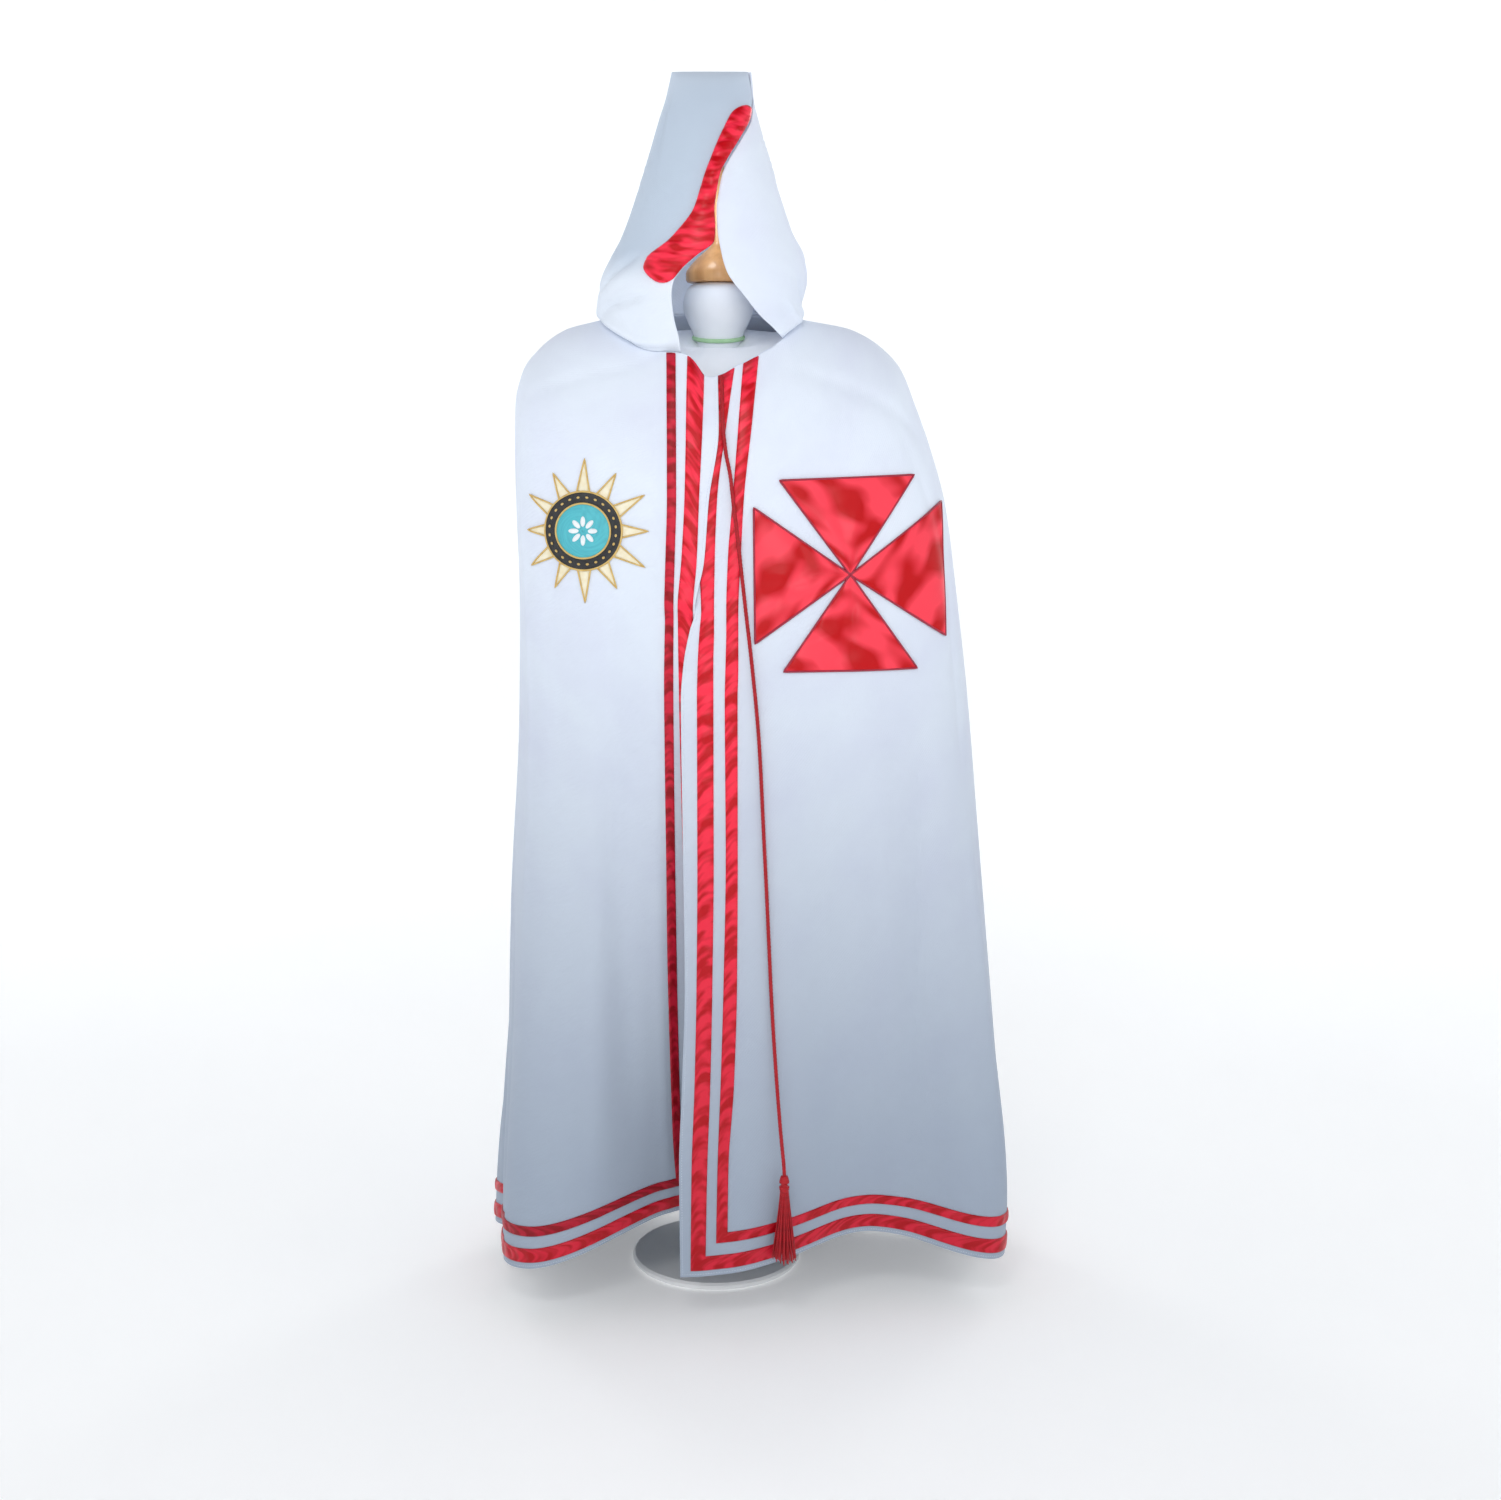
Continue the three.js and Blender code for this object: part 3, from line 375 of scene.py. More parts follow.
HOOD_CREASES = [Crease(*row) for row in (
    (-48, 1352, -86, 1304, 7, -7.0, 4),
    (-46, 1335, -82, 1290, 9, 2.5, 3),
    (-34, 1304, -74, 1281, 5, -4.6, 3),
    (-98, 1340, -76, 1290, 8, -4.6, 4),
    (-120, 1420, -96, 1310, 12, -4.0, 7),
    (-104, 1520, -98, 1400, 11, 3.0, -6),
    (-60, 1560, -52, 1470, 10, -2.4, 5),
    (-150, 1500, -138, 1330, 13, -4.4, -8),
    (-128, 1400, -142, 1300, 11, 3.8, 5),
    (64, 1330, 96, 1290, 8, -4.4, 5),
    (80, 1380, 104, 1296, 10, 4.6, -6),
    (52, 1302, 82, 1268, 6, 3.4, 4),
    (110, 1450, 122, 1320, 12, -4.2, 7),
    (96, 1545, 92, 1440, 10, 2.6, 5),
    (140, 1420, 148, 1300, 12, 4.4, -6),
    (158, 1530, 150, 1390, 12, -3.2, 6),
)]


@dataclass(frozen=True)
class Surface:
    """A surface worked out from levels and turns, between its lowest and its highest level."""

    point: Callable[[Grid, Grid], Grid]
    lowest: float
    highest: float

    def lifted(self, level: Grid, turn: Grid, lift: Grid | float) -> Grid:
        """Places at a distance out of the surface, along its normals.

        Args:
            level: levels of the places.
            turn: turns of the places.
            lift: distances out of the surface.

        Returns:
            The places, in millimetres.
        """
        across = self.point(level, turn + TURN_STEP) - self.point(level, turn - TURN_STEP)
        above = self.point(np.minimum(level + LEVEL_STEP, self.highest), turn)
        below = self.point(np.maximum(level - LEVEL_STEP, self.lowest), turn)
        normal = np.cross(across, above - below)
        normal /= np.maximum(np.linalg.norm(normal, axis=-1, keepdims=True), 1e-9)
        return self.point(level, turn) + normal * np.asarray(lift)[..., None]

    def wall(self, name: str, level: Grid, turn: Grid, face: Grid, low: float) -> Piece:
        """Closed wall over a grid of levels and turns, from its underside to its face.

        Args:
            name: the piece's name.
            level: levels of the grid.
            turn: turns of the grid.
            face: distances of the face from the surface.
            low: distance of the underside.

        Returns:
            The piece.
        """
        return shell(name, self.lifted(level, turn, face), self.lifted(level, turn, low))


class CapeShape:
    """The cape's and the hood's middle surfaces, with their creases."""

    def __init__(self) -> None:
        """Prepares the tables and the surfaces."""
        self.cape = Rings(CAPE_RINGS)
        self.hood_rings = Rings(HOOD_RINGS)
        self.lift = Table(HEM_LIFT)
        self.stripes = {Part.LEFT: Table(LEFT_STRIPES), Part.RIGHT: Table(RIGHT_STRIPES)}
        self.hood_left = Table(HOOD_LEFT_EDGE)
        self.hood_right = Table(HOOD_RIGHT_EDGE)
        body = Surface(lambda level, turn: self._cape_point(level, turn, False), HEM_LEVEL, NECK_LEVEL)
        left = Surface(lambda level, turn: self._cape_point(level, turn, True), HEM_LEVEL, NECK_LEVEL)
        self.panels = {Part.LEFT: left, Part.RIGHT: body, Part.BACK: body}
        self.hood = Surface(self._hood_point, NECK_LEVEL, CROWN_LEVEL)

    def _cape_point(self, level: Grid, turn: Grid, is_left: bool) -> Grid:
        """Middle surface of the cape's body, with folds that grow towards the hem."""
        point, out = self.cape.point(level, turn)
        flat = point.copy()
        degrees = np.degrees(turn)
        for at, spread, fold_out, rise, top in CAPE_FOLDS:
            away = wrapped(degrees - at)
            near = np.cos(SIDE * np.minimum(1, np.abs(away) / spread)) ** 2
            grown = np.clip((top - level) / (top - HEM_LEVEL), 0, 1) ** 1.3
            point += out * (fold_out * near * grown)[..., None]
            point[..., 2] += rise * near * grown
        if is_left:
            side = 2 * ease(*LAP_LEVELS, flat[..., 2]) - 1
            point += out * (LAP_OUT * side * ease(-72, -48, flat[..., 0]))[..., None]
            down = np.clip((TUCK_LEVEL - level) / (TUCK_LEVEL - HEM_LEVEL), 0, 1) ** 1.6
            inner = ease(-225, -52, flat[..., 0])
            point += out * (-TUCK_IN * down * inner)[..., None]
            point[..., 2] += TUCK_RISE * down * inner
        drawn = np.clip((HEM_LIFT_TOP - level) / (HEM_LIFT_TOP - HEM_LEVEL), 0, 1) ** 1.5
        point[..., 2] += drawn * self.lift.at(wrapped(degrees), 0 if is_left else 1)
        point[..., 2] += self._neckline(flat[..., 0], turn) * ease(1232, 1277, level)
        moved = sum(crease.depth(degrees, flat[..., 2]) for crease in CAPE_CREASES)
        return point + out * moved[..., None]

    def _neckline(self, x: Grid, turn: Grid) -> Grid:
        """Rise of the front neckline, which dips to a point where the fronts meet."""
        left = 21 * ease(-7, -31, x) * (1 - 0.9 * ease(-34, -100, x))
        right = 6 * ease(12, 34, x) * (1 - ease(50, 90, x)) - 3 * np.exp(-(((x + 1) / 9) ** 2))
        return (left + right) * ease(0.1, 0.6, np.cos(turn))

    def _hood_point(self, level: Grid, turn: Grid) -> Grid:
        """Middle surface of the hood."""
        point, out = self.hood_rings.point(level, turn)
        degrees = np.degrees(turn)
        moved = sum(crease.depth(degrees, point[..., 2]) for crease in HOOD_CREASES)
        calm = ease(NECK_LEVEL, 1296, level) * (1 - ease(1560, 1578, level))
        near = np.exp(-(((level - 1291) / 7) ** 2)) * ease(NECK_LEVEL, 1283, level)
        droop = np.exp(-(((degrees + 60) / 30) ** 2)) + 0.8 * np.exp(-(((degrees - 66) / 24) ** 2))
        point[..., 2] += self._neckline(point[..., 0], turn) * (1 - ease(NECK_LEVEL, 1330, level))
        point[..., 2] -= DROOP_DOWN * near * droop
        return point + out * (moved * calm + DROOP_OUT * near * droop)[..., None]

    def stripe_x(self, part: Part, level: Grid, number: int) -> Grid:
        """x of a band's edge or of the front edge at a level."""
        return self.stripes[part].at(level + self.cape.at(level, 0), number)

    def stripe_turn(self, part: Part, level: Grid, number: int) -> Grid:
        """Turn of a band's edge or of the front edge at a level."""
        return self.cape.turn_at(level, self.stripe_x(part, level, number))

    def hood_turn(self, table: Table, level: Grid, number: int) -> Grid:
        """Turn of an edge of the hood's opening, looked up at the edge's own height."""
        rise = self.hood_rings.at(level, 0)
        turn = np.zeros_like(level, float)
        for _ in range(40):
            x = table.at(level + rise * np.cos(turn) ** 2, number)
            turn = 0.5 * turn + 0.5 * self.hood_rings.turn_at(level, x)
        return turn

    def find(self, part: Part, x: Grid, z: Grid) -> tuple[Grid, Grid]:
        """Level and turn at which a front panel has a given x and height.

        Args:
            part: the front that is searched.
            x: wanted places across.
            z: wanted heights.

        Returns:
            The levels and the turns.
        """
        point = self.panels[part].point
        level = z.astype(float).copy()
        turn = self.cape.turn_at(level, x)
        for _ in range(30):
            here = point(level, turn)
            slope = (point(level, turn + TURN_STEP)[..., 0] - here[..., 0]) / TURN_STEP
            level = level + SEARCH_SHARE * (z - here[..., 2])
            turn = turn + SEARCH_SHARE * (x - here[..., 0]) / slope
        return level, turn


def row_lengths(points: Grid, axis: int) -> Grid:
    """Distance along the rows or columns of a grid of places, from its start."""
    steps = np.linalg.norm(np.diff(points, axis=axis), axis=-1)
    start = np.zeros_like(np.take(steps, [0], axis=axis))
    return np.concatenate([start, np.cumsum(steps, axis=axis)], axis=axis)


def new_object(name: str, vertices: Grid, faces: list[list[int]], uv: Grid | None = None) -> Piece:
    """Smooth-shaded mesh object from places in millimetres.

    Args:
        name: the object's name.
        vertices: places, in millimetres.
        faces: vertex numbers of each face.
        uv: one pair for each vertex, in metres on the cloth.

    Returns:
        The object, linked to the scene.
    """
    mesh = bpy.data.meshes.new(name)
    mesh.from_pydata((vertices.reshape(-1, 3) * MM).tolist(), [], faces)
    if uv is not None:
        corners = np.empty(len(mesh.loops), int)
        mesh.loops.foreach_get("vertex_index", corners)
        layer = mesh.uv_layers.new(name="UVMap")
        layer.data.foreach_set("uv", uv.reshape(-1, 2)[corners].astype(np.float32).ravel())
    mesh.polygons.foreach_set("use_smooth", np.ones(len(mesh.polygons), bool))
    mesh.update()
    mesh.validate()
    made = bpy.data.objects.new(name, mesh)
    bpy.context.scene.collection.objects.link(made)
    return made


def grid_faces(index: Grid) -> Grid:
    """Quads over a grid of vertex numbers, facing along down times right."""
    a = index[:-1, :-1]
    b = index[1:, :-1]
    c = index[1:, 1:]
    d = index[:-1, 1:]
    return np.stack([a, b, c, d], axis=-1).reshape(-1, 4)


def wall_faces(index: Grid, shift: int, is_loop: bool = False) -> Grid:
    """Quads of a closed wall over a grid of vertex numbers.

    Args:
        index: vertex numbers of the outer side.
        shift: what is added to them for the inner side.
        is_loop: whether the last column is the first one again.

    Returns:
        The quads.
    """
    if is_loop:
        borders = [index[0], index[-1][::-1]]
    else:
        borders = [np.concatenate([index[0], index[1:, -1], index[-1, -2::-1], index[-2::-1, 0]])]
    faces = [grid_faces(index), grid_faces(index)[:, ::-1] + shift]
    for border in borders:
        a = border[:-1]
        b = border[1:]
        faces.append(np.stack([a, b, b + shift, a + shift], axis=-1))
    return np.concatenate(faces)


def shell(name: str, outer: Grid, inner: Grid, is_loop: bool = False) -> Piece:
    """Closed wall between an outer and an inner grid of places.

    Args:
        name: the object's name.
        outer: outer places, rows by columns by three, in millimetres.
        inner: inner places, as many.
        is_loop: whether the last column meets the first.

    Returns:
        The object, with its cloth lengths as UV map.
    """
    middle = (outer.shape[0] // 2, outer.shape[1] // 2)
    down = outer[middle[0] + 1, middle[1]] - outer[middle[0] - 1, middle[1]]
    right = outer[middle[0], middle[1] + 1] - outer[middle[0], middle[1] - 1]
    if np.dot(np.cross(down, right), outer[middle] - inner[middle]) < 0:
        outer = outer[:, ::-1]
        inner = inner[:, ::-1]
    rows, columns = outer.shape[:2]
    index = looped(rows, columns) if is_loop else np.arange(rows * columns).reshape(rows, columns)
    faces = wall_faces(index, rows * columns, is_loop)
    uv = np.stack([row_lengths(outer, 1), row_lengths(outer, 0) + UV_STEP * len(name)], axis=-1) * MM
    vertices = np.concatenate([outer.reshape(-1, 3), inner.reshape(-1, 3)])
    return new_object(name, vertices, faces.tolist(), np.concatenate([uv, uv]))


def edge_spaced(count: int, first: float) -> Grid:
    """Even fractions from 0 to 1 with one more close to each end, for a rounded edge."""
    return np.concatenate([[0.0, first], np.linspace(0, 1, count + 1)[1:-1], [1 - first, 1.0]])


def looped(rows: int, columns: int) -> Grid:
    """Vertex numbers of a grid whose last column is the first one again."""
    index = np.arange(rows * columns).reshape(rows, columns)
    return np.concatenate([index, index[:, :1]], axis=1)


def closed_ring(count: int) -> Grid:
    """Even turns of a full ring, without its last one."""
    return np.arange(count) * 2 * math.pi / count


def frames_along(path: Grid, is_closed: bool) -> tuple[Grid, Grid]:
    """Two directions across a path that don't twist along it."""
    ahead = np.roll(path, -1, axis=0) - np.roll(path, 1, axis=0)
    if not is_closed:
        ahead[0] = path[1] - path[0]
        ahead[-1] = path[-1] - path[-2]
    ahead /= np.linalg.norm(ahead, axis=1, keepdims=True)
    first = np.cross(ahead[0], [0.0, 0.0, 1.0])
    if np.linalg.norm(first) < 0.2:
        first = np.cross(ahead[0], [0.0, 1.0, 0.0])
    sides = [first / np.linalg.norm(first)]
    for direction in ahead[1:]:
        side = sides[-1] - direction * np.dot(sides[-1], direction)
        sides.append(side / np.linalg.norm(side))
    side = np.array(sides)
    return side, np.cross(ahead, side)


@dataclass(frozen=True)
class Rope:
    """Section of a cord or thread: its radius, sides and the strands twisted into it."""

    radius: float
    sides: int = 8
    strands: int = 0
    lay: float = 9.0
    groove: float = 0.2

    def mesh(
        self, path: Grid, is_closed: bool = False, scale: Grid | None = None
    ) -> MeshData:
        """Vertices, faces and UV of the rope along a path.

        Args:
            path: places along its centre, in millimetres.
            is_closed: whether the path is a loop.
            scale: share of the radius at each place.

        Returns:
            Vertices, quads and UV pairs.
        """
        side, up = frames_along(path, is_closed)
        length = np.concatenate([[0.0], np.cumsum(np.linalg.norm(np.diff(path, axis=0), axis=1))])
        turn = closed_ring(self.sides)
        radius = np.full((len(path), self.sides), self.radius)
        if self.strands:
            phase = self.strands / 2 * turn[None, :] - math.pi * length[:, None] / self.lay
            radius *= 1 - self.groove + self.groove * np.abs(np.cos(phase))
        if scale is not None:
            radius *= scale[:, None]
        offset = np.cos(turn)[None, :, None] * side[:, None] + np.sin(turn)[None, :, None] * up[:, None]
        vertices = path[:, None] + offset * radius[..., None]
        index = looped(len(path), self.sides)
        if is_closed:
            index = np.concatenate([index, index[:1]], axis=0)
        faces = grid_faces(index)[:, ::-1]
        if not is_closed:
            ends = [vertices[0].mean(axis=0), vertices[-1].mean(axis=0)]
            number = len(path) * self.sides
            first = np.stack([index[0, 1:], index[0, :-1], np.full(self.sides, number)], axis=-1)
            last = np.stack([index[-1, :-1], index[-1, 1:], np.full(self.sides, number + 1)], axis=-1)
            caps = np.concatenate([first[:, [0, 1, 2, 2]], last[:, [0, 1, 2, 2]]])
            faces = np.concatenate([faces, caps])
            vertices = np.concatenate([vertices.reshape(-1, 3), np.array(ends)])
        vertices = vertices.reshape(-1, 3)
        uv = np.zeros((len(vertices), 2))
        grid = np.stack(np.meshgrid(length, turn * self.radius, indexing="ij"), axis=-1).reshape(-1, 2)
        uv[: len(grid)] = grid
        return vertices, faces, uv * MM


def rope_object(name: str, ropes: list[MeshData]) -> Piece:
    """One object from several ropes' meshes."""
    vertices: list[Grid] = []
    faces: list[list[int]] = []
    uv: list[Grid] = []
    shift = 0
    for rope_vertices, rope_faces, rope_uv in ropes:
        vertices.append(rope_vertices)
        uv.append(rope_uv)
        for face in (rope_faces + shift).tolist():
            faces.append(face[:3] if face[2] == face[3] else face)
        shift += len(rope_vertices)
    return new_object(name, np.concatenate(vertices), faces, np.concatenate(uv))


def lathe(name: str, profile: list[tuple[float, float]], sides: int, x: float, y: float) -> Piece:
    """Turned solid about an upright axis.

    Args:
        name: the object's name.
        profile: radius and height from the foot up, its first and last radius above zero.
        sides: number of sides.
        x: place of the axis.
        y: place of the axis.

    Returns:
        The object.
    """
    heights = np.array([pair[1] for pair in profile], float)
    radii = np.array([pair[0] for pair in profile], float)
    turn = closed_ring(sides)
    ring = np.stack([np.cos(turn), np.sin(turn), np.zeros(sides)], axis=-1)
    points = ring[None] * radii[::-1, None, None]
    points = points + np.array([x, y, 0.0])
    points[..., 2] = heights[::-1, None]
    index = looped(len(profile), sides)
    faces = grid_faces(index).tolist()
    faces.append(index[0, :-1].tolist())
    faces.append(index[-1, :-1][::-1].tolist())
    lengths = np.stack(np.meshgrid(heights[::-1], turn * LATHE_CLOTH, indexing="ij"), axis=-1) * MM
    made = new_object(name, points, faces, lengths)
    made.data.set_sharp_from_angle(angle=math.radians(50))
    return made


def smooth_route(places: list[tuple[float, float, float]], step: float) -> Grid:
    """Evenly spaced places on the centripetal curve through a list of places.

    Args:
        places: the places that the curve goes through.
        step: wanted spacing, in millimetres.

    Returns:
        Places along the curve.
    """
    points = np.array(places, float)
    points = np.concatenate([[2 * points[0] - points[1]], points, [2 * points[-1] - points[-2]]])
    t = np.linspace(0, 1, 24, endpoint=False)[:, None]
    spans: list[Grid] = []
    for k in range(1, len(points) - 2):
        p0, p1, p2, p3 = points[k - 1 : k + 3]
        d0, d1, d2 = (math.sqrt(float(np.linalg.norm(b - a))) for a, b in ((p0, p1), (p1, p2), (p2, p3)))
        t1 = ((p1 - p0) / d0 - (p2 - p0) / (d0 + d1) + (p2 - p1) / d1) * d1
        t2 = ((p2 - p1) / d1 - (p3 - p1) / (d1 + d2) + (p3 - p2) / d2) * d1
        spans.append(p1 + t1 * t + (3 * (p2 - p1) - 2 * t1 - t2) * t**2 + (2 * (p1 - p2) + t1 + t2) * t**3)
    dense = np.concatenate([*spans, points[-2:-1]])
    length = np.concatenate([[0.0], np.cumsum(np.linalg.norm(np.diff(dense, axis=0), axis=1))])
    wanted = np.linspace(0, length[-1], int(length[-1] / step) + 1)
    return np.stack([np.interp(wanted, length, dense[:, axis]) for axis in range(3)], axis=-1)


def add_node(
    tree: bpy.types.NodeTree, kind: str, settings: dict[str, object] | None = None,
    inputs: dict[str | int, object] | None = None,
) -> bpy.types.Node:
    """Adds a node.

    Args:
        tree: the node tree.
        kind: the node's type.
        settings: its properties.
        inputs: values or sockets for its inputs, by name or number.

    Returns:
        The node.
    """
    node = tree.nodes.new(kind)
    for key, value in (settings or {}).items():
        setattr(node, key, value)
    for key, value in (inputs or {}).items():
        if isinstance(value, bpy.types.NodeSocket):
            tree.links.new(value, node.inputs[key])
        else:
            node.inputs[key].default_value = value
    return node


def linear(colour: str) -> tuple[float, float, float, float]:
    """Linear colour from an sRGB hex value."""
    parts = [int(colour[k : k + 2], 16) / 255 for k in (0, 2, 4)]
    made = [c / 12.92 if c <= 0.04045 else ((c + 0.055) / 1.055) ** 2.4 for c in parts]
    return (made[0], made[1], made[2], 1.0)


class Coordinates(Enum):
    """What a material's pattern follows."""

    PIECE = "Object"
    CLOTH = "UV"


@dataclass(frozen=True)
class Finish:
    """A finish: two colours mixed by a soft mottling, and one thread, grain or grit pattern.

    The mottling's size and the pattern's spacing are in millimetres.
    """

    name: str
    colour: str
    second: str
    roughness: float
    mottle: float
    mottle_share: float
    stretch: tuple[float, float, float] = (1.0, 1.0, 1.0)
    spacing: float = 2.0
    relief: float = 0.2
    follows: Coordinates = Coordinates.PIECE
    direction: str = "X"
    sheen: float = 0.0
    specular: float = 0.5
    anisotropy: float = 0.0
    coat: float = 0.0
    # Painted shade and painted highlights: each a colour, an axis of the piece, two places along it and a
    # share, mixed in as light would fall
    painted_shading: tuple[tuple[str, str, float, float, float], ...] = ()
    mottle_detail: float = 3.0
    blend: tuple[float, float] = (0.38, 0.68)
    nap: float = 0.0
    glow: float = 0.0

    def build(self) -> bpy.types.Material:
        """Makes the node-based material."""
        made = bpy.data.materials.new(self.name)
        made.use_nodes = True
        tree = made.node_tree
        tree.nodes.clear()
        place = add_node(tree, "ShaderNodeTexCoord")
        piece = place.outputs["Object"]
        followed = place.outputs[self.follows.value]
        mapped = add_node(tree, "ShaderNodeMapping", {}, {"Vector": followed, "Scale": self.stretch})
        mottling = add_node(
            tree, "ShaderNodeTexNoise", {},
            {
                "Vector": mapped.outputs["Vector"], "Scale": 1 / (self.mottle * MM),
                "Detail": self.mottle_detail,
            },
        )
        share = add_node(
            tree, "ShaderNodeMapRange", {},
            {
                "Value": mottling.outputs["Fac"], "From Min": self.blend[0], "From Max": self.blend[1],
                "To Max": self.mottle_share,
            },
        )
        colour = add_node(
            tree, "ShaderNodeMix", {"data_type": "RGBA"},
            {0: share.outputs["Result"], 6: linear(self.colour), 7: linear(self.second)},
        )
        # Painted shade and painted highlights, mixed in along the piece's axes
        for shade in self.painted_shading:
            colour = self._mix_painted_shade(tree, piece, colour, *shade)
        thread = add_node(
            tree, "ShaderNodeTexWave", {"wave_type": "BANDS", "bands_direction": self.direction},
            {
                "Vector": followed, "Scale": math.pi / 10 / (self.spacing * MM),
                "Distortion": 0.6, "Detail": 1.0, "Detail Scale": 1.4,
            },
        )
        bump = add_node(
            tree, "ShaderNodeBump", {},
            {
                "Height": thread.outputs["Fac"], "Strength": self.relief,
                "Distance": self.spacing * 0.25 * MM,
            },
        )
        if self.nap:
            bump = self._napped(tree, piece, bump)
        shader = add_node(
            tree, "ShaderNodeBsdfPrincipled", {},
            {
                "Base Color": colour.outputs[2], "Roughness": self.roughness,
                "Specular IOR Level": self.specular, "Sheen Weight": self.sheen,
                "Anisotropic": self.anisotropy, "Coat Weight": self.coat, "Normal": bump.outputs["Normal"],
                "Emission Color": linear("ffffff"), "Emission Strength": self.glow,
            },
        )
        add_node(tree, "ShaderNodeOutputMaterial", {}, {"Surface": shader.outputs["BSDF"]})
        return made

    def _mix_painted_shade(
        self, tree: bpy.types.NodeTree, piece: bpy.types.NodeSocket, colour: bpy.types.Node, shade: str,
        axis: str, first: float, last: float, most: float,
    ) -> bpy.types.Node:
        """Painted shade or painted highlight: another colour, which comes in between two places along an
        axis, in metres.
        """
        place = add_node(tree, "ShaderNodeSeparateXYZ", {}, {"Vector": piece})
        share = add_node(
            tree, "ShaderNodeMapRange", {"interpolation_type": "SMOOTHSTEP"},
            {"Value": place.outputs[axis], "From Min": first, "From Max": last, "To Max": most},
        )
        return add_node(
            tree, "ShaderNodeMix", {"data_type": "RGBA"},
            {0: share.outputs["Result"], 6: colour.outputs[2], 7: linear(shade)},
        )

    def _napped(
        self, tree: bpy.types.NodeTree, piece: bpy.types.NodeSocket, bump: bpy.types.Node
    ) -> bpy.types.Node:
        """Fine fibre ends over the thread pattern."""
        fibres = add_node(
            tree, "ShaderNodeTexNoise", {}, {"Vector": piece, "Scale": 1 / (self.nap * MM), "Detail": 4.0}
        )
        return add_node(
            tree, "ShaderNodeBump", {},
            {
                "Height": fibres.outputs["Fac"], "Strength": 0.25, "Distance": self.nap * 0.3 * MM,
                "Normal": bump.outputs["Normal"],
            },
        )


@dataclass(frozen=True)
class Wool(Finish):
    """Fulled wool gabardine: matt, bluish white, a steep twill line under a short nap."""

    roughness: float = 0.88
    mottle: float = 120
    mottle_share: float = 0.6
    spacing: float = 2.4
    relief: float = 0.16
    direction: str = "DIAGONAL"
    follows: Coordinates = Coordinates.CLOTH
    sheen: float = 0.1
    specular: float = 0.25
    nap: float = 1.6


@dataclass(frozen=True)
class Satin(Finish):
    """Polyester satin: glossy floats along its length, and painted highlights: its light and dark colours
    are mixed in blotches stretched across it.
    """

    roughness: float = 0.3
    mottle: float = 13
    mottle_share: float = 1.0
    stretch: tuple[float, float, float] = (0.4, 1.0, 1.0)
    spacing: float = 0.9
    relief: float = 0.1
    direction: str = "Y"
    follows: Coordinates = Coordinates.CLOTH
    specular: float = 0.26
    anisotropy: float = 0.3
    blend: tuple[float, float] = (0.42, 0.6)
    mottle_detail: float = 1.0


@dataclass(frozen=True)
class RayonThread(Finish):
    """Rayon machine embroidery: close parallel threads with a silky line of light."""

    roughness: float = 0.45
    mottle: float = 8
    mottle_share: float = 0.6
    spacing: float = 1.0
    relief: float = 0.4
    follows: Coordinates = Coordinates.CLOTH
    specular: float = 0.6


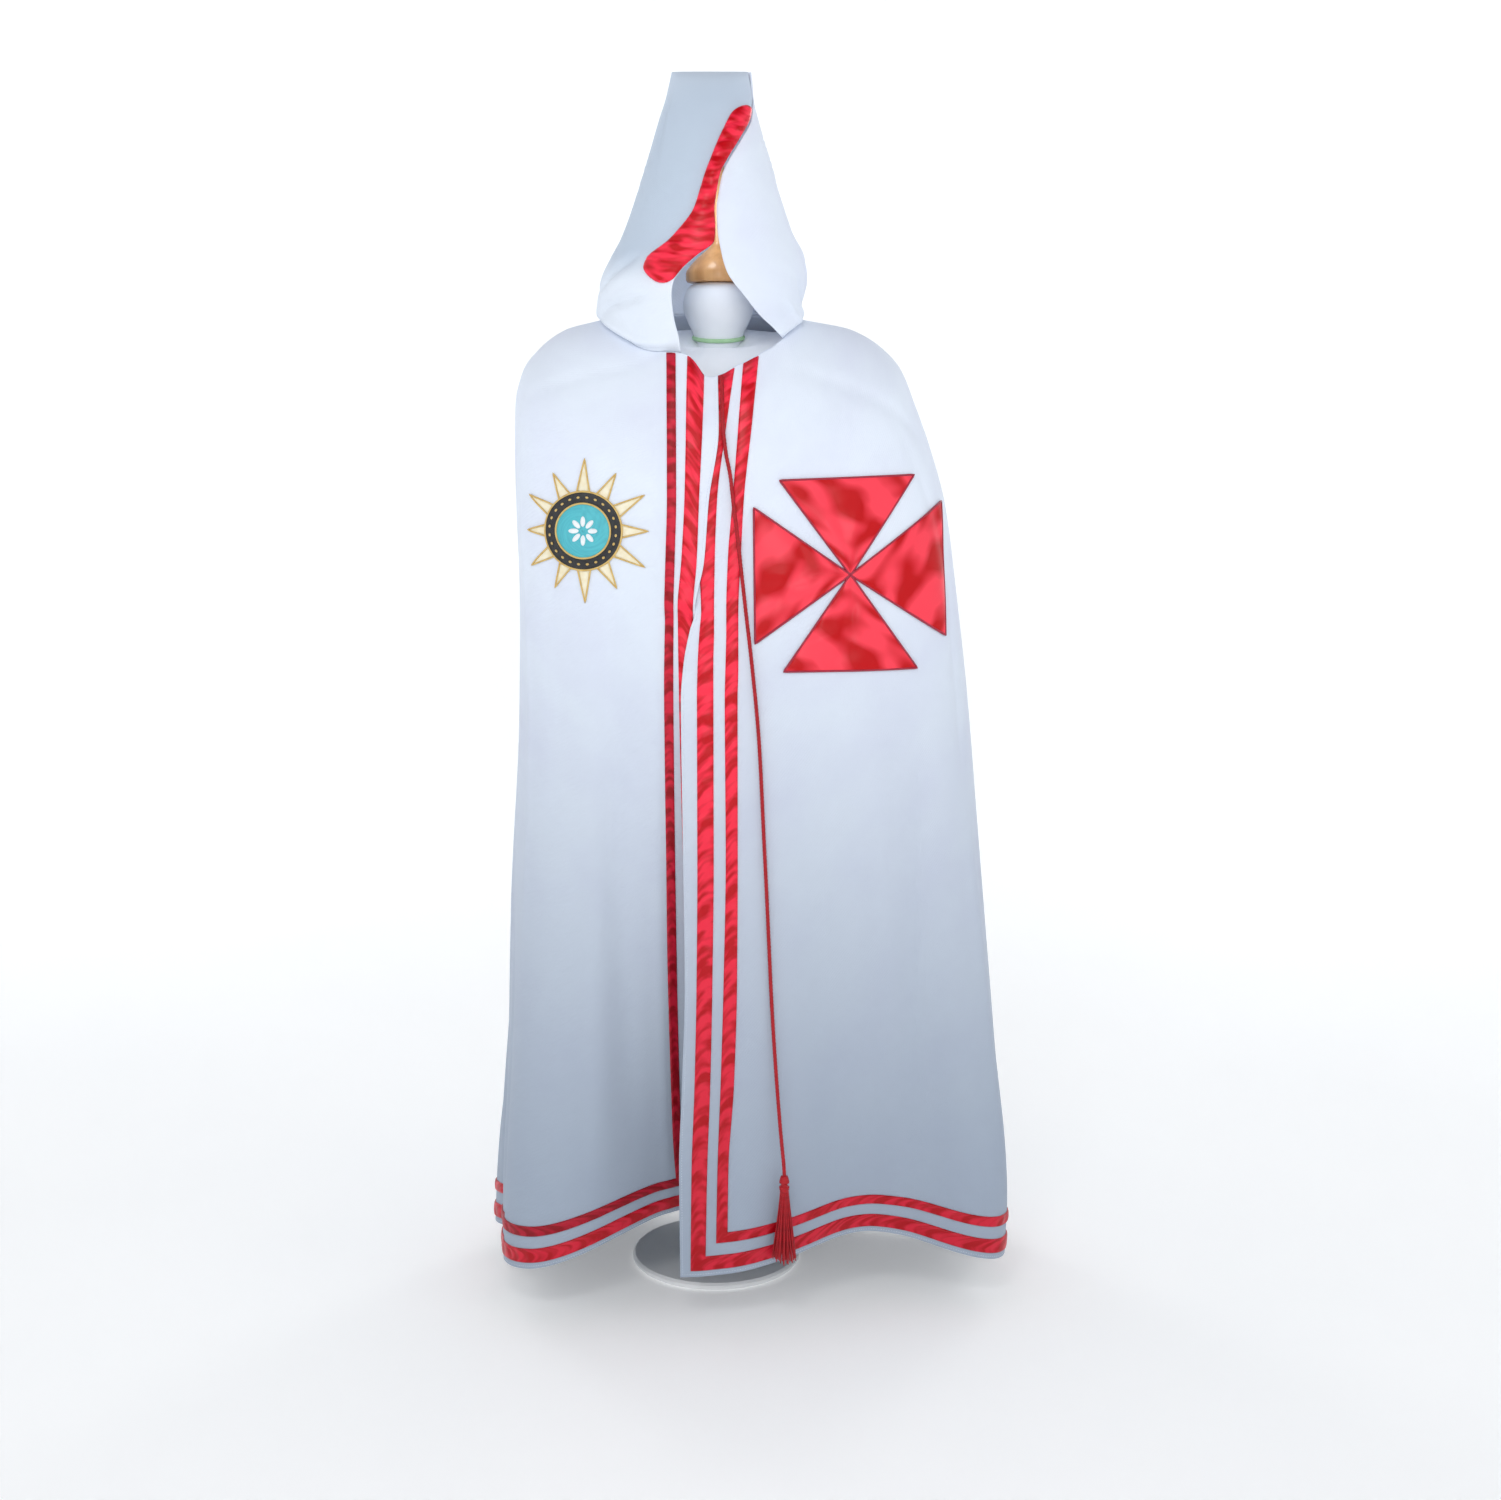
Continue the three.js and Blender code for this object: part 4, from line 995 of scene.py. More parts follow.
@dataclass(frozen=True)
class Finishes:
    """All finishes of the cape and its form."""

    # Pale at the shoulders, greyer towards the hem, where less light falls on it
    wool: Finish = Wool(
        "wool_gabardine", "e9f1fd", "dfe4f6", painted_shading=(("8b99ab", "Z", 1.15, 0.05, 0.85),)
    )
    # The hood's left front, with painted shade that greys it towards the front, and a painted highlight
    # that keeps its low folds pale
    hood_wool_painted_shade: Finish = Wool(
        "wool_gabardine_painted_shade", "e9f1fd", "dce2f2", 0.9, 90, 0.7, specular=0.2,
        painted_shading=(("bccbdc", "Y", 0.06, -0.04, 0.85), ("edf4fe", "Z", 1.365, 1.315, 0.85)),
    )
    # Bright ribbon with painted highlights, short light and dark blotches across it, and painted shade that
    # deepens the red towards the hem
    satin: Finish = Satin(
        "polyester_satin_ribbon", "ff2e4a", "c40012", anisotropy=0.35,
        painted_shading=(("8a0012", "Z", 0.85, 0.06, 0.5),),
    )
    # The same ribbon, rougher and duller, with painted shade: darker colours, as it lies in the shade of
    # the folds
    dull_satin_painted_shade: Finish = Satin(
        "satin_ribbon_dull_painted_shade", "d41e3a", "960414", 0.42, 11, relief=0.12,
        painted_shading=(("7a0014", "Z", 0.85, 0.06, 0.5),),
    )
    # Heavier satin of the cross over slack cloth, with painted highlights: broad light and dark blotches
    # mixed into its colour
    cross_satin: Finish = Satin(
        "duchess_satin", "ff4456", "c4000a", 0.28, 44, stretch=(1.0, 1.0, 1.0), spacing=1.0, relief=0.08,
        direction="X", specular=0.22, blend=(0.42, 0.58), mottle_detail=0.6,
    )
    # Dark red outline round the cross
    edge_thread: Finish = RayonThread(
        "red_rayon_thread", "a81436", "8a0f2a", 0.42, 9, spacing=0.9, relief=0.5
    )
    # Pale gold with a clear glint
    gold_thread: Finish = RayonThread(
        "gold_rayon_thread", "e3c274", "c79a45", 0.4, 8, 0.7, spacing=0.9, relief=0.5, specular=0.7
    )
    # Soft cream filling, duller than the gold
    cream_thread: Finish = RayonThread(
        "cream_rayon_thread", "f8f1d8", "efe0b4", 0.5, 9, direction="Y", specular=0.5
    )
    # Near black, with painted grey highlights on the thread
    black_thread: Finish = RayonThread("black_rayon_thread", "14161a", "2a2c30", mottle=7, relief=0.45)
    # Even turquoise ground
    blue_thread: Finish = RayonThread("turquoise_rayon_thread", "50c0cc", "3aa4b6", direction="Y")
    # Clean white petals
    white_thread: Finish = RayonThread(
        "white_rayon_thread", "f6f9fb", "e2eaf0", 0.48, 6, 0.5, spacing=0.9, specular=0.5
    )
    # Fine stitches, a shade darker than the satin that they hold
    sewing_thread: Finish = Finish(
        "red_polyester_sewing_thread", "b3132d", "8f0d22", 0.5, 5, 0.5, spacing=0.6, relief=0.3
    )
    # Dull white stitches, hardly seen on the wool
    hem_thread: Finish = Finish(
        "white_cotton_thread", "dfe5ee", "c9d1dd", 0.75, 5, 0.5, spacing=0.6, relief=0.3, specular=0.3
    )
    # Viscose cord: twisted strands, dull silk shine
    cord: Finish = Finish(
        "twisted_viscose_cord", "b40a1c", "8a0410", 0.45, 6, 0.6, spacing=1.2, relief=0.35,
        direction="DIAGONAL", follows=Coordinates.CLOTH, specular=0.35, sheen=0.05,
    )
    # Knitted cotton cover of the form: matt, close rows
    cover: Finish = Finish(
        "cotton_jersey_cover", "f4f8ff", "e8eef4", 0.82, 60, 0.5, spacing=1.6, relief=0.15, direction="Z",
        specular=0.3, sheen=0.15, nap=1.2,
    )
    # Matt woven tape, pale green
    seam_tape: Finish = Finish(
        "pale_green_cotton_tape", "b4dcae", "9fcb9b", 0.8, 8, 0.5, spacing=1.0, relief=0.3, specular=0.3
    )
    # Lacquered beech: tan, long darker grain, a soft gloss
    beech: Finish = Finish(
        "lacquered_beech", "e6ad70", "c68a50", 0.36, 14, 0.8, stretch=(1.0, 1.0, 0.14), spacing=3.4,
        relief=0.05, coat=0.35,
    )
    # Powder-coated steel: white, faint orange peel
    powder_coat: Finish = Finish(
        "white_powder_coat", "f1f2f3", "e8eaec", 0.42, 40, 0.4, spacing=1.4, relief=0.04,
        direction="DIAGONAL", nap=1.0,
    )
    # Painted studio floor: pale, matt, nearly even
    floor: Finish = Finish(
        "matt_studio_paint", "f4f5f6", "eef0f2", 0.9, 500, 0.3, spacing=6.0, relief=0.01, specular=0.2,
        glow=0.2,
    )


FINISHES = Finishes()
MADE: dict[str, bpy.types.Material] = {}


def material(finish: Finish) -> bpy.types.Material:
    """The material of a finish, made once."""
    if finish.name not in MADE:
        MADE[finish.name] = finish.build()
    return MADE[finish.name]


def dress(piece: Piece, finish: Finish, slot: Slot, *nodes: str) -> Piece:
    """Gives a piece its material, body and the CAD nodes that it stands for."""
    piece.data.materials.clear()
    piece.data.materials.append(material(finish))
    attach(piece, "root")
    if nodes:
        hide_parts(*nodes)
    LOG.info("%s: %d faces", piece.name, len(piece.data.polygons))
    return piece


@dataclass
class Studio:
    """Camera at the photograph's angle, pale stage and soft lights."""

    camera_place: tuple[float, float, float] = (0.048, -2.6, 1.145)
    pitch: float = 9.3
    focal_pixels: float = 1984.0
    image: tuple[int, int] = (1501, 1500)
    sensor: float = 36.0
    floor_sides: int = 96
    floor_radius: float = 3000.0
    floor_bend: float = 1800.0
    wall_height: float = 7000.0
    room_colour: str = "f2f5fb"
    room_strength: float = 0.16
    lights: tuple[tuple[str, tuple[float, float, float], float, float], ...] = (
        ("key_light", (-0.3, -1.9, 2.3), 0.3, 27.0),
        ("front_light", (0.1, -2.75, 1.32), 0.3, 19.0),
        ("hood_light", (-0.02, -0.055, 1.42), 0.02, 0.12),
        ("side_light", (2.3, -1.2, 2.6), 0.5, 6.0),
        ("back_light_left", (-1.8, 2.4, 2.2), 0.5, 38.0),
        ("back_light_right", (1.8, 2.4, 2.2), 0.5, 38.0),
    )

    def camera(self) -> Piece:
        """Makes the scene's camera."""
        data = bpy.data.cameras.new("camera")
        data.sensor_fit = "HORIZONTAL"
        data.sensor_width = self.sensor
        data.lens = self.sensor * self.focal_pixels / self.image[0]
        made = bpy.data.objects.new("camera", data)
        made.location = self.camera_place
        made.rotation_euler = (math.radians(90 - self.pitch), 0.0, 0.0)
        bpy.context.scene.collection.objects.link(made)
        bpy.context.scene.camera = made
        return made

    def stage(self) -> None:
        """Makes the round floor, which curves up into a wall all round."""
        turn = np.linspace(0, math.pi / 2, 12)
        flat = [1, self.floor_radius / 2, self.floor_radius]
        last = self.floor_radius + self.floor_bend
        radius = np.concatenate([flat, self.floor_radius + self.floor_bend * np.sin(turn), [last]])
        height = np.concatenate([[0, 0, 0], self.floor_bend * (1 - np.cos(turn)), [self.wall_height]])
        around = closed_ring(self.floor_sides)
        ring = np.stack([np.sin(around), -np.cos(around), np.zeros(self.floor_sides)], axis=-1)
        grid = ring[None] * radius[:, None, None]
        grid[..., 2] = height[:, None]
        index = looped(len(radius), self.floor_sides)
        faces = grid_faces(index).tolist()
        faces.append(index[0, :-1].tolist())
        made = new_object("studio_floor", grid, faces)
        made.data.materials.append(material(FINISHES.floor))

    def light(self) -> None:
        """Makes the soft lamps and the even light of the room."""
        for name, place, radius, power in self.lights:
            data = bpy.data.lights.new(name, "POINT")
            data.shadow_soft_size = radius
            data.energy = power
            made = bpy.data.objects.new(name, data)
            made.location = place
            made.visible_camera = False
            bpy.context.scene.collection.objects.link(made)
        world = bpy.data.worlds.new("room_light")
        world.use_nodes = True
        background = world.node_tree.nodes["Background"]
        background.inputs["Color"].default_value = linear(self.room_colour)
        background.inputs["Strength"].default_value = self.room_strength
        bpy.context.scene.world = world
        bpy.context.scene.view_settings.view_transform = "Standard"


@dataclass
class NeckCord:
    """The hanging cord and its tassel."""

    diameter: float = 5.0
    strands: int = 64
    head: float = 6.5
    head_length: float = 23.0
    strand: float = 1.05
    strands_from: float = 18.0
    bottom: float = 114.0
    spread: float = 16.0
    golden_turn: float = 2.39996

    def build(self) -> None:
        path = smooth_route([*CORD_ROUTE, (91, -199, 192), (91, -199, 182)], 1.5)
        rope = Rope(self.diameter / 2, sides=15, strands=3, lay=5.0)
        cord = dress(rope_object("twisted_cord", [rope.mesh(path)]), FINISHES.cord, Slot.CORD, "neck_cord")
        tassel = dress(self._tassel(np.array(CORD_ROUTE[-1])), FINISHES.cord, Slot.CORD, "tassel")

    def _tassel(self, end: Grid) -> Piece:
        """Head bound with thread, and loose strands of uneven length."""
        rng = np.random.default_rng(11)
        parts: list[MeshData] = []
        # The head: a small bulge with the binding's waist in it
        z = np.linspace(0.3, -self.head_length, 30)
        bulge = 4.4 + 2.3 * np.sin(np.clip(-z / self.head_length, 0, 1) * math.pi) ** 0.8
        bulge *= 1 + 0.05 * np.cos(z * 2.6)
        bulge[(z < -9) & (z > -13)] = 4.3
        head_path = np.array([end + np.array([0, 0, value - 0.3]) for value in z])
        parts.append(Rope(1.0, sides=16).mesh(head_path, scale=bulge))
        for k in range(self.strands):
            turn = self.golden_turn * k
            share = math.sqrt((k + 0.5) / self.strands)
            low = self.bottom - rng.uniform(0, 9)
            t = np.linspace(0, 1, 9)
            start = self.head * 0.75 * share
            radius = start + (self.spread * share - start) * t**1.3
            turns = turn + rng.uniform(-0.25, 0.25) * t
            sway = rng.uniform(-0.8, 0.8) * np.sin(math.pi * t)
            fall = -self.strands_from - (low - self.strands_from) * t
            swung = radius + sway
            place = np.stack([swung * np.cos(turns), swung * np.sin(turns), fall], axis=-1)
            place[:, 1] = np.minimum(place[:, 1], 12)
            parts.append(Rope(self.strand, sides=5).mesh(end + place, scale=1 - 0.25 * t**3))
        return rope_object("cord_tassel", parts)


@dataclass
class Panels:
    """The two fronts and the back, each one closed shell of lined wool."""

    shape: CapeShape
    columns: dict[Part, int] = field(
        default_factory=lambda: {Part.LEFT: 84, Part.RIGHT: 104, Part.BACK: 150}
    )

    def levels(self) -> Grid:
        """Levels of the grid's rows, close together over the shoulders."""
        parts = [np.array([1277.99, 1277.4]), np.linspace(1276, 1240, 18), np.linspace(1238, 1110, 32)]
        parts += [np.linspace(1103, 33.6, 138), np.array([32.7, 32.0])]
        return np.concatenate(parts)

    def turns(self, part: Part, level: Grid) -> Grid:
        """Turns of the grid's columns for each level."""
        share = edge_spaced(self.columns[part], 0.0022)[None, :]
        if part is Part.BACK:
            gap = SEAM_GAP / 2 / self.shape.cape.at(level, 5)
            first = SIDE + gap
            last = 3 * SIDE - gap
        else:
            gap = SEAM_GAP / 2 / self.shape.cape.at(level, 4)
            edge = self.shape.stripe_turn(part, level, 4)
            first = edge if part is Part.RIGHT else -SIDE + gap
            last = SIDE - gap if part is Part.RIGHT else edge
        return first[:, None] * (1 - share) + last[:, None] * share

    def build(self, part: Part, pieces: list[Piece]) -> Piece:
        """Args:
            part: the panel.
            pieces: not used.

        Returns:
            The panel.
        """
        rows = self.levels()
        name = "back" if part is Part.BACK else f"front_{part.value}"
        return lined_panel(
            f"cape_{name}", name, self.shape.panels[part], rows, self.turns(part, rows), FINISHES.wool,
        )


def lined_panel(
    name: str, node: str, surface: Surface, rows: Grid, turn: Grid, finish: Finish,
) -> Piece:
    """Makes one panel of lined wool.

    Args:
        name: the panel's name.
        node: the CAD node that it stands for.
        surface: the surface that it lies on.
        rows: levels of its grid's rows.
        turn: turns of its grid.
        finish: the cloth's finish.

    Returns:
        The panel.
    """
    level = np.broadcast_to(rows[:, None], turn.shape)
    thick = np.full(turn.shape, CLOTH_HALF * EDGE_SHARE)
    thick[1:-1, 1:-1] = CLOTH_HALF
    outer = surface.lifted(level, turn, thick)
    panel = dress(shell(name, outer, surface.lifted(level, turn, -thick)), finish, Slot.CLOTH, node)
    return panel


def puckers(along: Grid, across: Grid, seed: int, spacing: float, depth: float) -> Grid:
    """Uneven crosswise puckers of a ribbon that is stitched down at both edges.

    Args:
        along: places along the ribbon, in millimetres.
        across: places across it, from 0 to 1.
        seed: start of the random row.
        spacing: mean distance between puckers.
        depth: mean depth.

    Returns:
        How far the face moves at each place.
    """
    rng = np.random.default_rng(seed)
    moved = 0.12 * depth * np.sin(along * 2 * math.pi / 7.3 + 2.1 * across)
    place = 0.0
    while place < float(along.max()):
        place += spacing * rng.uniform(0.45, 1.7)
        skew = rng.uniform(-9, 9)
        width = rng.uniform(2.2, 5.4)
        side = rng.uniform(0.15, 0.85)
        strength = depth * rng.uniform(0.4, 1.3) * rng.choice([-1.0, 0.7], p=[0.7, 0.3])
        reach = np.exp(-(((across - side) / 0.62) ** 2))
        moved = moved + strength * reach * np.exp(-(((along - place - skew * (across - 0.5)) / width) ** 2))
    return moved


@dataclass
class Bands:
    """Satin bands of the fronts and hem. Each front's runs down beside the edge and turns at the hem."""

    shape: CapeShape
    columns: int = 7
    puff: float = 1.2
    pucker_spacing: float = 15.0
    side_gap: float = 0.0016
    depths: dict[str, float] = field(default_factory=lambda: {"broad": 1.35, "narrow": 1.0})
    hem: dict[str, tuple[float, float]] = field(
        default_factory=lambda: {"broad": (9, 30), "narrow": (48, 63)}
    )
    stripes: dict[str, tuple[int, int]] = field(default_factory=lambda: {"broad": (3, 2), "narrow": (1, 0)})

    def lines(self, part: Part, band: str, across: Grid) -> tuple[Grid, Grid]:
        """Levels and turns of lines that follow a band.

        Args:
            part: the panel.
            band: "broad" or "narrow".
            across: places across the band, 0 at the side of the edge and hem.

        Returns:
            Levels and turns, rows along the band by columns across it.
        """
        low, high = self.hem[band]
        corner = HEM_LEVEL + low + (high - low) * across[None, :]
        if part is Part.BACK:
            turn = np.linspace(SIDE + self.side_gap, 3 * SIDE - self.side_gap, 240)[:, None]
            return np.broadcast_to(corner, (240, len(across))), np.broadcast_to(turn, (240, len(across)))
        top = NECK_LEVEL - 0.8
        down = np.linspace(0, 1, 260)[:, None]
        level = top + (corner - top) * down
        x_out = self.shape.stripe_x(part, level, self.stripes[band][0])
        x_in = self.shape.stripe_x(part, level, self.stripes[band][1])
        turn = self.shape.cape.turn_at(level, x_out * (1 - across) + x_in * across)
        side = SIDE - self.side_gap
        end = side if part is Part.RIGHT else -side
        share = np.linspace(0, 1, 130)[1:, None]
        hem_turn = turn[-1:] * (1 - share) + end * share
        hem_level = np.broadcast_to(corner, hem_turn.shape)
        return np.concatenate([level, hem_level]), np.concatenate([turn, hem_turn])

    def build(self, part: Part, band: str, seed: int) -> Piece:
        """Makes one band."""
        across = edge_spaced(self.columns, 0.05)
        level, turn = self.lines(part, band, across)
        surface = self.shape.panels[part]
        along = row_lengths(surface.point(level, turn), 0)[:, len(across) // 2][:, None]
        face = BAND_HIGH + self.puff * (4 * across * (1 - across))[None, :] ** 0.6
        moved = puckers(along, across[None, :], seed, self.pucker_spacing, self.depths[band])
        face = face + moved * np.minimum(1, 0.35 + 3 * across * (1 - across))
        face[:, [0, -1]] = BAND_LOW + 0.35
        face = np.maximum(face, BAND_LOW + 0.3)
        made = surface.wall(f"satin_{band}_{part.value}", level, turn, face, BAND_LOW)
        # The left front's narrow band gets the satin with painted shade
        is_dull_and_shaded = part is Part.LEFT and band == "narrow"
        finish = FINISHES.dull_satin_painted_shade if is_dull_and_shaded else FINISHES.satin
        return dress(made, finish, Slot.SATIN, f"band_{band}_{part.value}")


@dataclass
class Cross:
    """Large cross of four puffed satin arms, each edged with a row of close stitches."""

    shape: CapeShape
    x: float = 171.0
    z: float = 962.5
    reach: float = 118.0
    tip: float = 1.6
    half_outer: float = 83.0
    half_tip: float = 1.2
    puff: float = 3.2
    edge: float = 1.5

    def places(self, degrees: float, along: Grid, side: Grid) -> tuple[Grid, Grid]:
        """x and height of places on an arm.

        Args:
            degrees: direction of the arm.
            along: 0 at the tip to 1 at the outer edge.
            side: -1 to 1 across.

        Returns:
            The places' x and height.
        """
        reach = self.tip + (self.reach - self.tip) * along
        half = self.half_tip + (self.half_outer - self.half_tip) * along
        c = math.cos(math.radians(degrees))
        s = math.sin(math.radians(degrees))
        return self.x + c * reach - s * side * half, self.z + s * reach + c * side * half

    def build(self, name: str, degrees: float, seed: int) -> list[Piece]:
        """Makes one arm and its stitched edge."""
        along = edge_spaced(34, 0.008)[::-1][:, None]
        side = edge_spaced(34, 0.008)[None, :]
        along, side = np.broadcast_arrays(along, 2 * side - 1)
        level, turn = self.shape.find(Part.RIGHT, *self.places(degrees, along, side))
        rng = np.random.default_rng(seed)
        crown = ((1 - side**2) * 4 * along * (1 - along)) ** 0.45
        slack = np.zeros_like(along)
        for _ in range(9):
            angle = rng.uniform(0, math.pi)
            at = rng.uniform(-0.6, 0.6)
            line = (along - 0.6) * 2 * math.cos(angle) + side * along * math.sin(angle) - at
            bend = 0.25 * np.sin(3 * side + rng.uniform(0, 6))
            slack += rng.uniform(-2.2, 1.6) * np.exp(-(((line + bend) / rng.uniform(0.1, 0.26)) ** 2))
        face = PATCH_HIGH + (self.puff + slack) * crown
        face = np.maximum(face, PATCH_LOW + 0.5)
        arm = self.shape.panels[Part.RIGHT].wall(f"cross_satin_{name}", level, turn, face, PATCH_LOW)
        dress(arm, FINISHES.cross_satin, Slot.SATIN, f"cross_arm_{name}")
        return [arm, self._edging(name, degrees)]

    def _edging(self, name: str, degrees: float) -> Piece:
        """The close row of stitches round an arm."""
        t = np.linspace(0, 1, 60, endpoint=False)
        along = np.concatenate([t, np.ones(60), 1 - t, np.zeros(4)])
        back = np.linspace(1, -1, 4, endpoint=False)
        side = np.concatenate([np.full(60, -1.0), 2 * t - 1, np.ones(60), back])
        level, turn = self.shape.find(Part.RIGHT, *self.places(degrees, along, side))
        path = self.shape.panels[Part.RIGHT].lifted(level, turn, PATCH_HIGH - 0.3)
        made = rope_object(f"cross_edging_{name}", [Rope(self.edge, sides=8).mesh(path, True)])
        return dress(made, FINISHES.edge_thread, Slot.SATIN)


@dataclass
class Badge:
    """Round embroidered badge: rays, a dark ring with gold dots, a disc with a plain rosette."""

    shape: CapeShape
    x: float = -158.0
    z: float = 1016.0
    ring_outer: float = 48.0
    ring_inner: float = 34.0
    disc: float = 33.0
    ray_thread: float = 1.05
    knot: float = 1.5
    petal: float = 3.3
    rim_thread: float = 1.25
    ray_foot: float = 47.0
    ray_reach: float = 88.0
    ray_half_degrees: float = 10.5
    rays: int = 12
    dots: int = 24
    petals: int = 8
    sides: int = 72
    press: float = 0.62
    rise: float = 60.0

    def _lift(self, x: Grid, z: Grid, lift: Grid | float) -> Grid:
        """Places over the left front at an x and height from the badge's middle."""
        level, turn = self.shape.find(Part.LEFT, self.x + x, self.z + z)
        return self.shape.panels[Part.LEFT].lifted(level, turn, lift)

    def _around(self, across: Grid, z: Grid, lift: float) -> Grid:
        """Places over the left front at a distance measured round it, so that rays don't stretch."""
        front = self.shape.panels[Part.LEFT]
        turns = np.linspace(-SIDE * 1.02, 0, 400)
        ring = front.point(np.full(400, self.z + self.rise), turns)
        length = np.concatenate([[0.0], np.cumsum(np.linalg.norm(np.diff(ring[:, :2], axis=0), axis=1))])
        centre = float(np.interp(self.x, ring[:, 0], length))
        turn = np.interp(centre + across, length, turns)
        level = np.full(turn.shape, self.z + self.rise) + z
        for _ in range(20):
            level = level + SEARCH_SHARE * (self.z + z - front.point(level, turn)[..., 2])
        return front.lifted(level, turn, lift)

    def _polar_patch(
        self, name: str, radius: Grid, turn: Grid, face: Grid, low: float
    ) -> Piece:
        """Closed patch over a polar grid, rows from the rim inwards."""
        x = radius * np.sin(turn)
        z = radius * np.cos(turn)
        return shell(name, self._lift(x, z, face), self._lift(x, z, low), True)

    def build(self) -> list[Piece]:
        """Makes the badge's pieces."""
        turn = closed_ring(self.sides)[None, :]
        share = edge_spaced(8, 0.05)[:, None]
        radius = self.ring_outer + (self.ring_inner - self.ring_outer) * share + 0 * turn
        face = PATCH_LOW + 0.5 + 1.5 * (4 * share * (1 - share)) ** 0.5 + 0 * turn
        ring = self._polar_patch("badge_dark_ring", radius, turn + 0 * share, face, PATCH_LOW)
        dress(ring, FINISHES.black_thread, Slot.DARK_THREAD, "badge_ring")
        share = edge_spaced(12, 0.03)[:, None]
        radius = self.disc * (1 - share * 0.985) + 0 * turn
        face = PATCH_LOW + 0.5 + 0.9 * np.minimum(1, share * 9) + 0 * turn
        disc = self._polar_patch("badge_round_ground", radius, turn + 0 * share, face, PATCH_LOW)
        dress(disc, FINISHES.blue_thread, Slot.BLUE_THREAD, "badge_disc")
        return [ring, disc, self._rays(), self._ray_fill(), self._dots(), self._rosette(), self._borders()]

    def _ray_corners(self, k: int) -> tuple[float, float, float]:
        """Turns of a ray's middle and half width, and its reach."""
        reach = self.ray_reach - 7 * (k % 2)
        return 2 * math.pi * k / self.rays, math.radians(self.ray_half_degrees), reach

    def _rays(self) -> Piece:
        """Gold outlines of the rays."""
        ropes: list[MeshData] = []
        for k in range(self.rays):
            middle, half, reach = self._ray_corners(k)
            t = np.linspace(0, 1, 14)
            legs: list[Grid] = []
            for sign, share in ((-1, t), (1, t[::-1])):
                foot = np.array([math.sin(middle + sign * half), math.cos(middle + sign * half)])
                start = foot * self.ray_foot
                end = np.array([math.sin(middle), math.cos(middle)]) * reach
                legs.append(start + (end - start) * share[:, None])
            flat = np.concatenate([legs[0], legs[1][1:]])
            path = self._around(flat[:, 0], flat[:, 1], 2.3)
            ropes.append(Rope(self.ray_thread, sides=6).mesh(path))
        return dress(rope_object("badge_ray_outlines", ropes), FINISHES.gold_thread, Slot.SATIN)

    def _ray_fill(self) -> Piece:
        """Thin cream stitching inside the rays' outlines."""
        vertices: list[Grid] = []
        faces: list[Grid] = []
        uv: list[Grid] = []
        for k in range(self.rays):
            middle, half, reach = self._ray_corners(k)
            t = np.linspace(0, 0.97, 9)[:, None]
            s = np.linspace(-1, 1, 5)[None, :]
            base = self.ray_foot - 1.0 + 0 * s
            turn = middle + half * s
            x = (base * np.sin(turn)) * (1 - t) + reach * math.sin(middle) * t
            z = (base * np.cos(turn)) * (1 - t) + reach * math.cos(middle) * t
            top = self._around(x, z, 1.8)
            low = self._around(x, z, 1.25)
            index = np.arange(x.size).reshape(x.shape) + sum(len(v) for v in vertices)
            outward = np.cross(top[4, 2] - top[3, 2], top[4, 3] - top[4, 2])
            if np.dot(outward, top[4, 2] - low[4, 2]) < 0:
                index = index[:, ::-1]
            faces.append(wall_faces(index, x.size))
            vertices += [top.reshape(-1, 3), low.reshape(-1, 3)]
            uv += [np.stack([x, z], axis=-1).reshape(-1, 2) * MM] * 2
        quads = np.concatenate(faces).tolist()
        made = new_object("badge_ray_stitching", np.concatenate(vertices), quads, np.concatenate(uv))
        return dress(made, FINISHES.cream_thread, Slot.CLOTH)

    def _dots(self) -> Piece:
        """Evenly spaced gold knots on the dark ring."""
        ropes: list[MeshData] = []
        for k in range(self.dots):
            turn = 2 * math.pi * (k + 0.5) / self.dots
            t = np.linspace(-1, 1, 7)
            radius = (self.ring_outer + self.ring_inner) / 2
            x = radius * math.sin(turn) + 1.9 * t * math.cos(turn)
            z = radius * math.cos(turn) - 1.9 * t * math.sin(turn)
            path = self._lift(x, z, PATCH_LOW + 2.0)
            bulge = np.sqrt(np.maximum(0.08, 1 - t**2))
            ropes.append(Rope(self.knot, sides=7).mesh(path, scale=bulge))
        return dress(rope_object("badge_gold_knots", ropes), FINISHES.gold_thread, Slot.SATIN)

    def _rosette(self) -> Piece:
        """Plain eight-petal rosette in the middle of the disc."""
        ropes: list[MeshData] = []
        for k in range(self.petals):
            turn = 2 * math.pi * k / self.petals
            t = np.linspace(0, 1, 11)
            radius = 5 + 13 * t
            path = self._lift(radius * math.sin(turn), radius * math.cos(turn), PATCH_LOW + 1.4)
            bulge = np.sqrt(np.maximum(0.03, 1 - (2 * t - 1) ** 2))
            vertices, faces, uv = Rope(self.petal, sides=9).mesh(path, scale=bulge)
            ropes.append((self._flattened(vertices), faces, uv))
        return dress(rope_object("badge_rosette", ropes), FINISHES.white_thread, Slot.CLOTH)

    def _flattened(self, vertices: Grid) -> Grid:
        """The petal pressed down towards the cloth, which faces left, forwards and a little up there."""
        normal = np.array([-0.3, -0.94, 0.12])
        normal /= np.linalg.norm(normal)
        height = (vertices - vertices.mean(axis=0)) @ normal
        return vertices - np.outer(height * self.press, normal)

    def _borders(self) -> Piece:
        """Gold rims of the ring."""
        turn = closed_ring(self.sides)
        ropes: list[MeshData] = []
        for radius in (self.ring_outer, self.ring_inner - 0.4):
            path = self._lift(radius * np.sin(turn), radius * np.cos(turn), PATCH_LOW + 0.9)
            ropes.append(Rope(self.rim_thread, sides=7).mesh(path, True))
        return dress(rope_object("badge_gold_rims", ropes), FINISHES.gold_thread, Slot.SATIN)


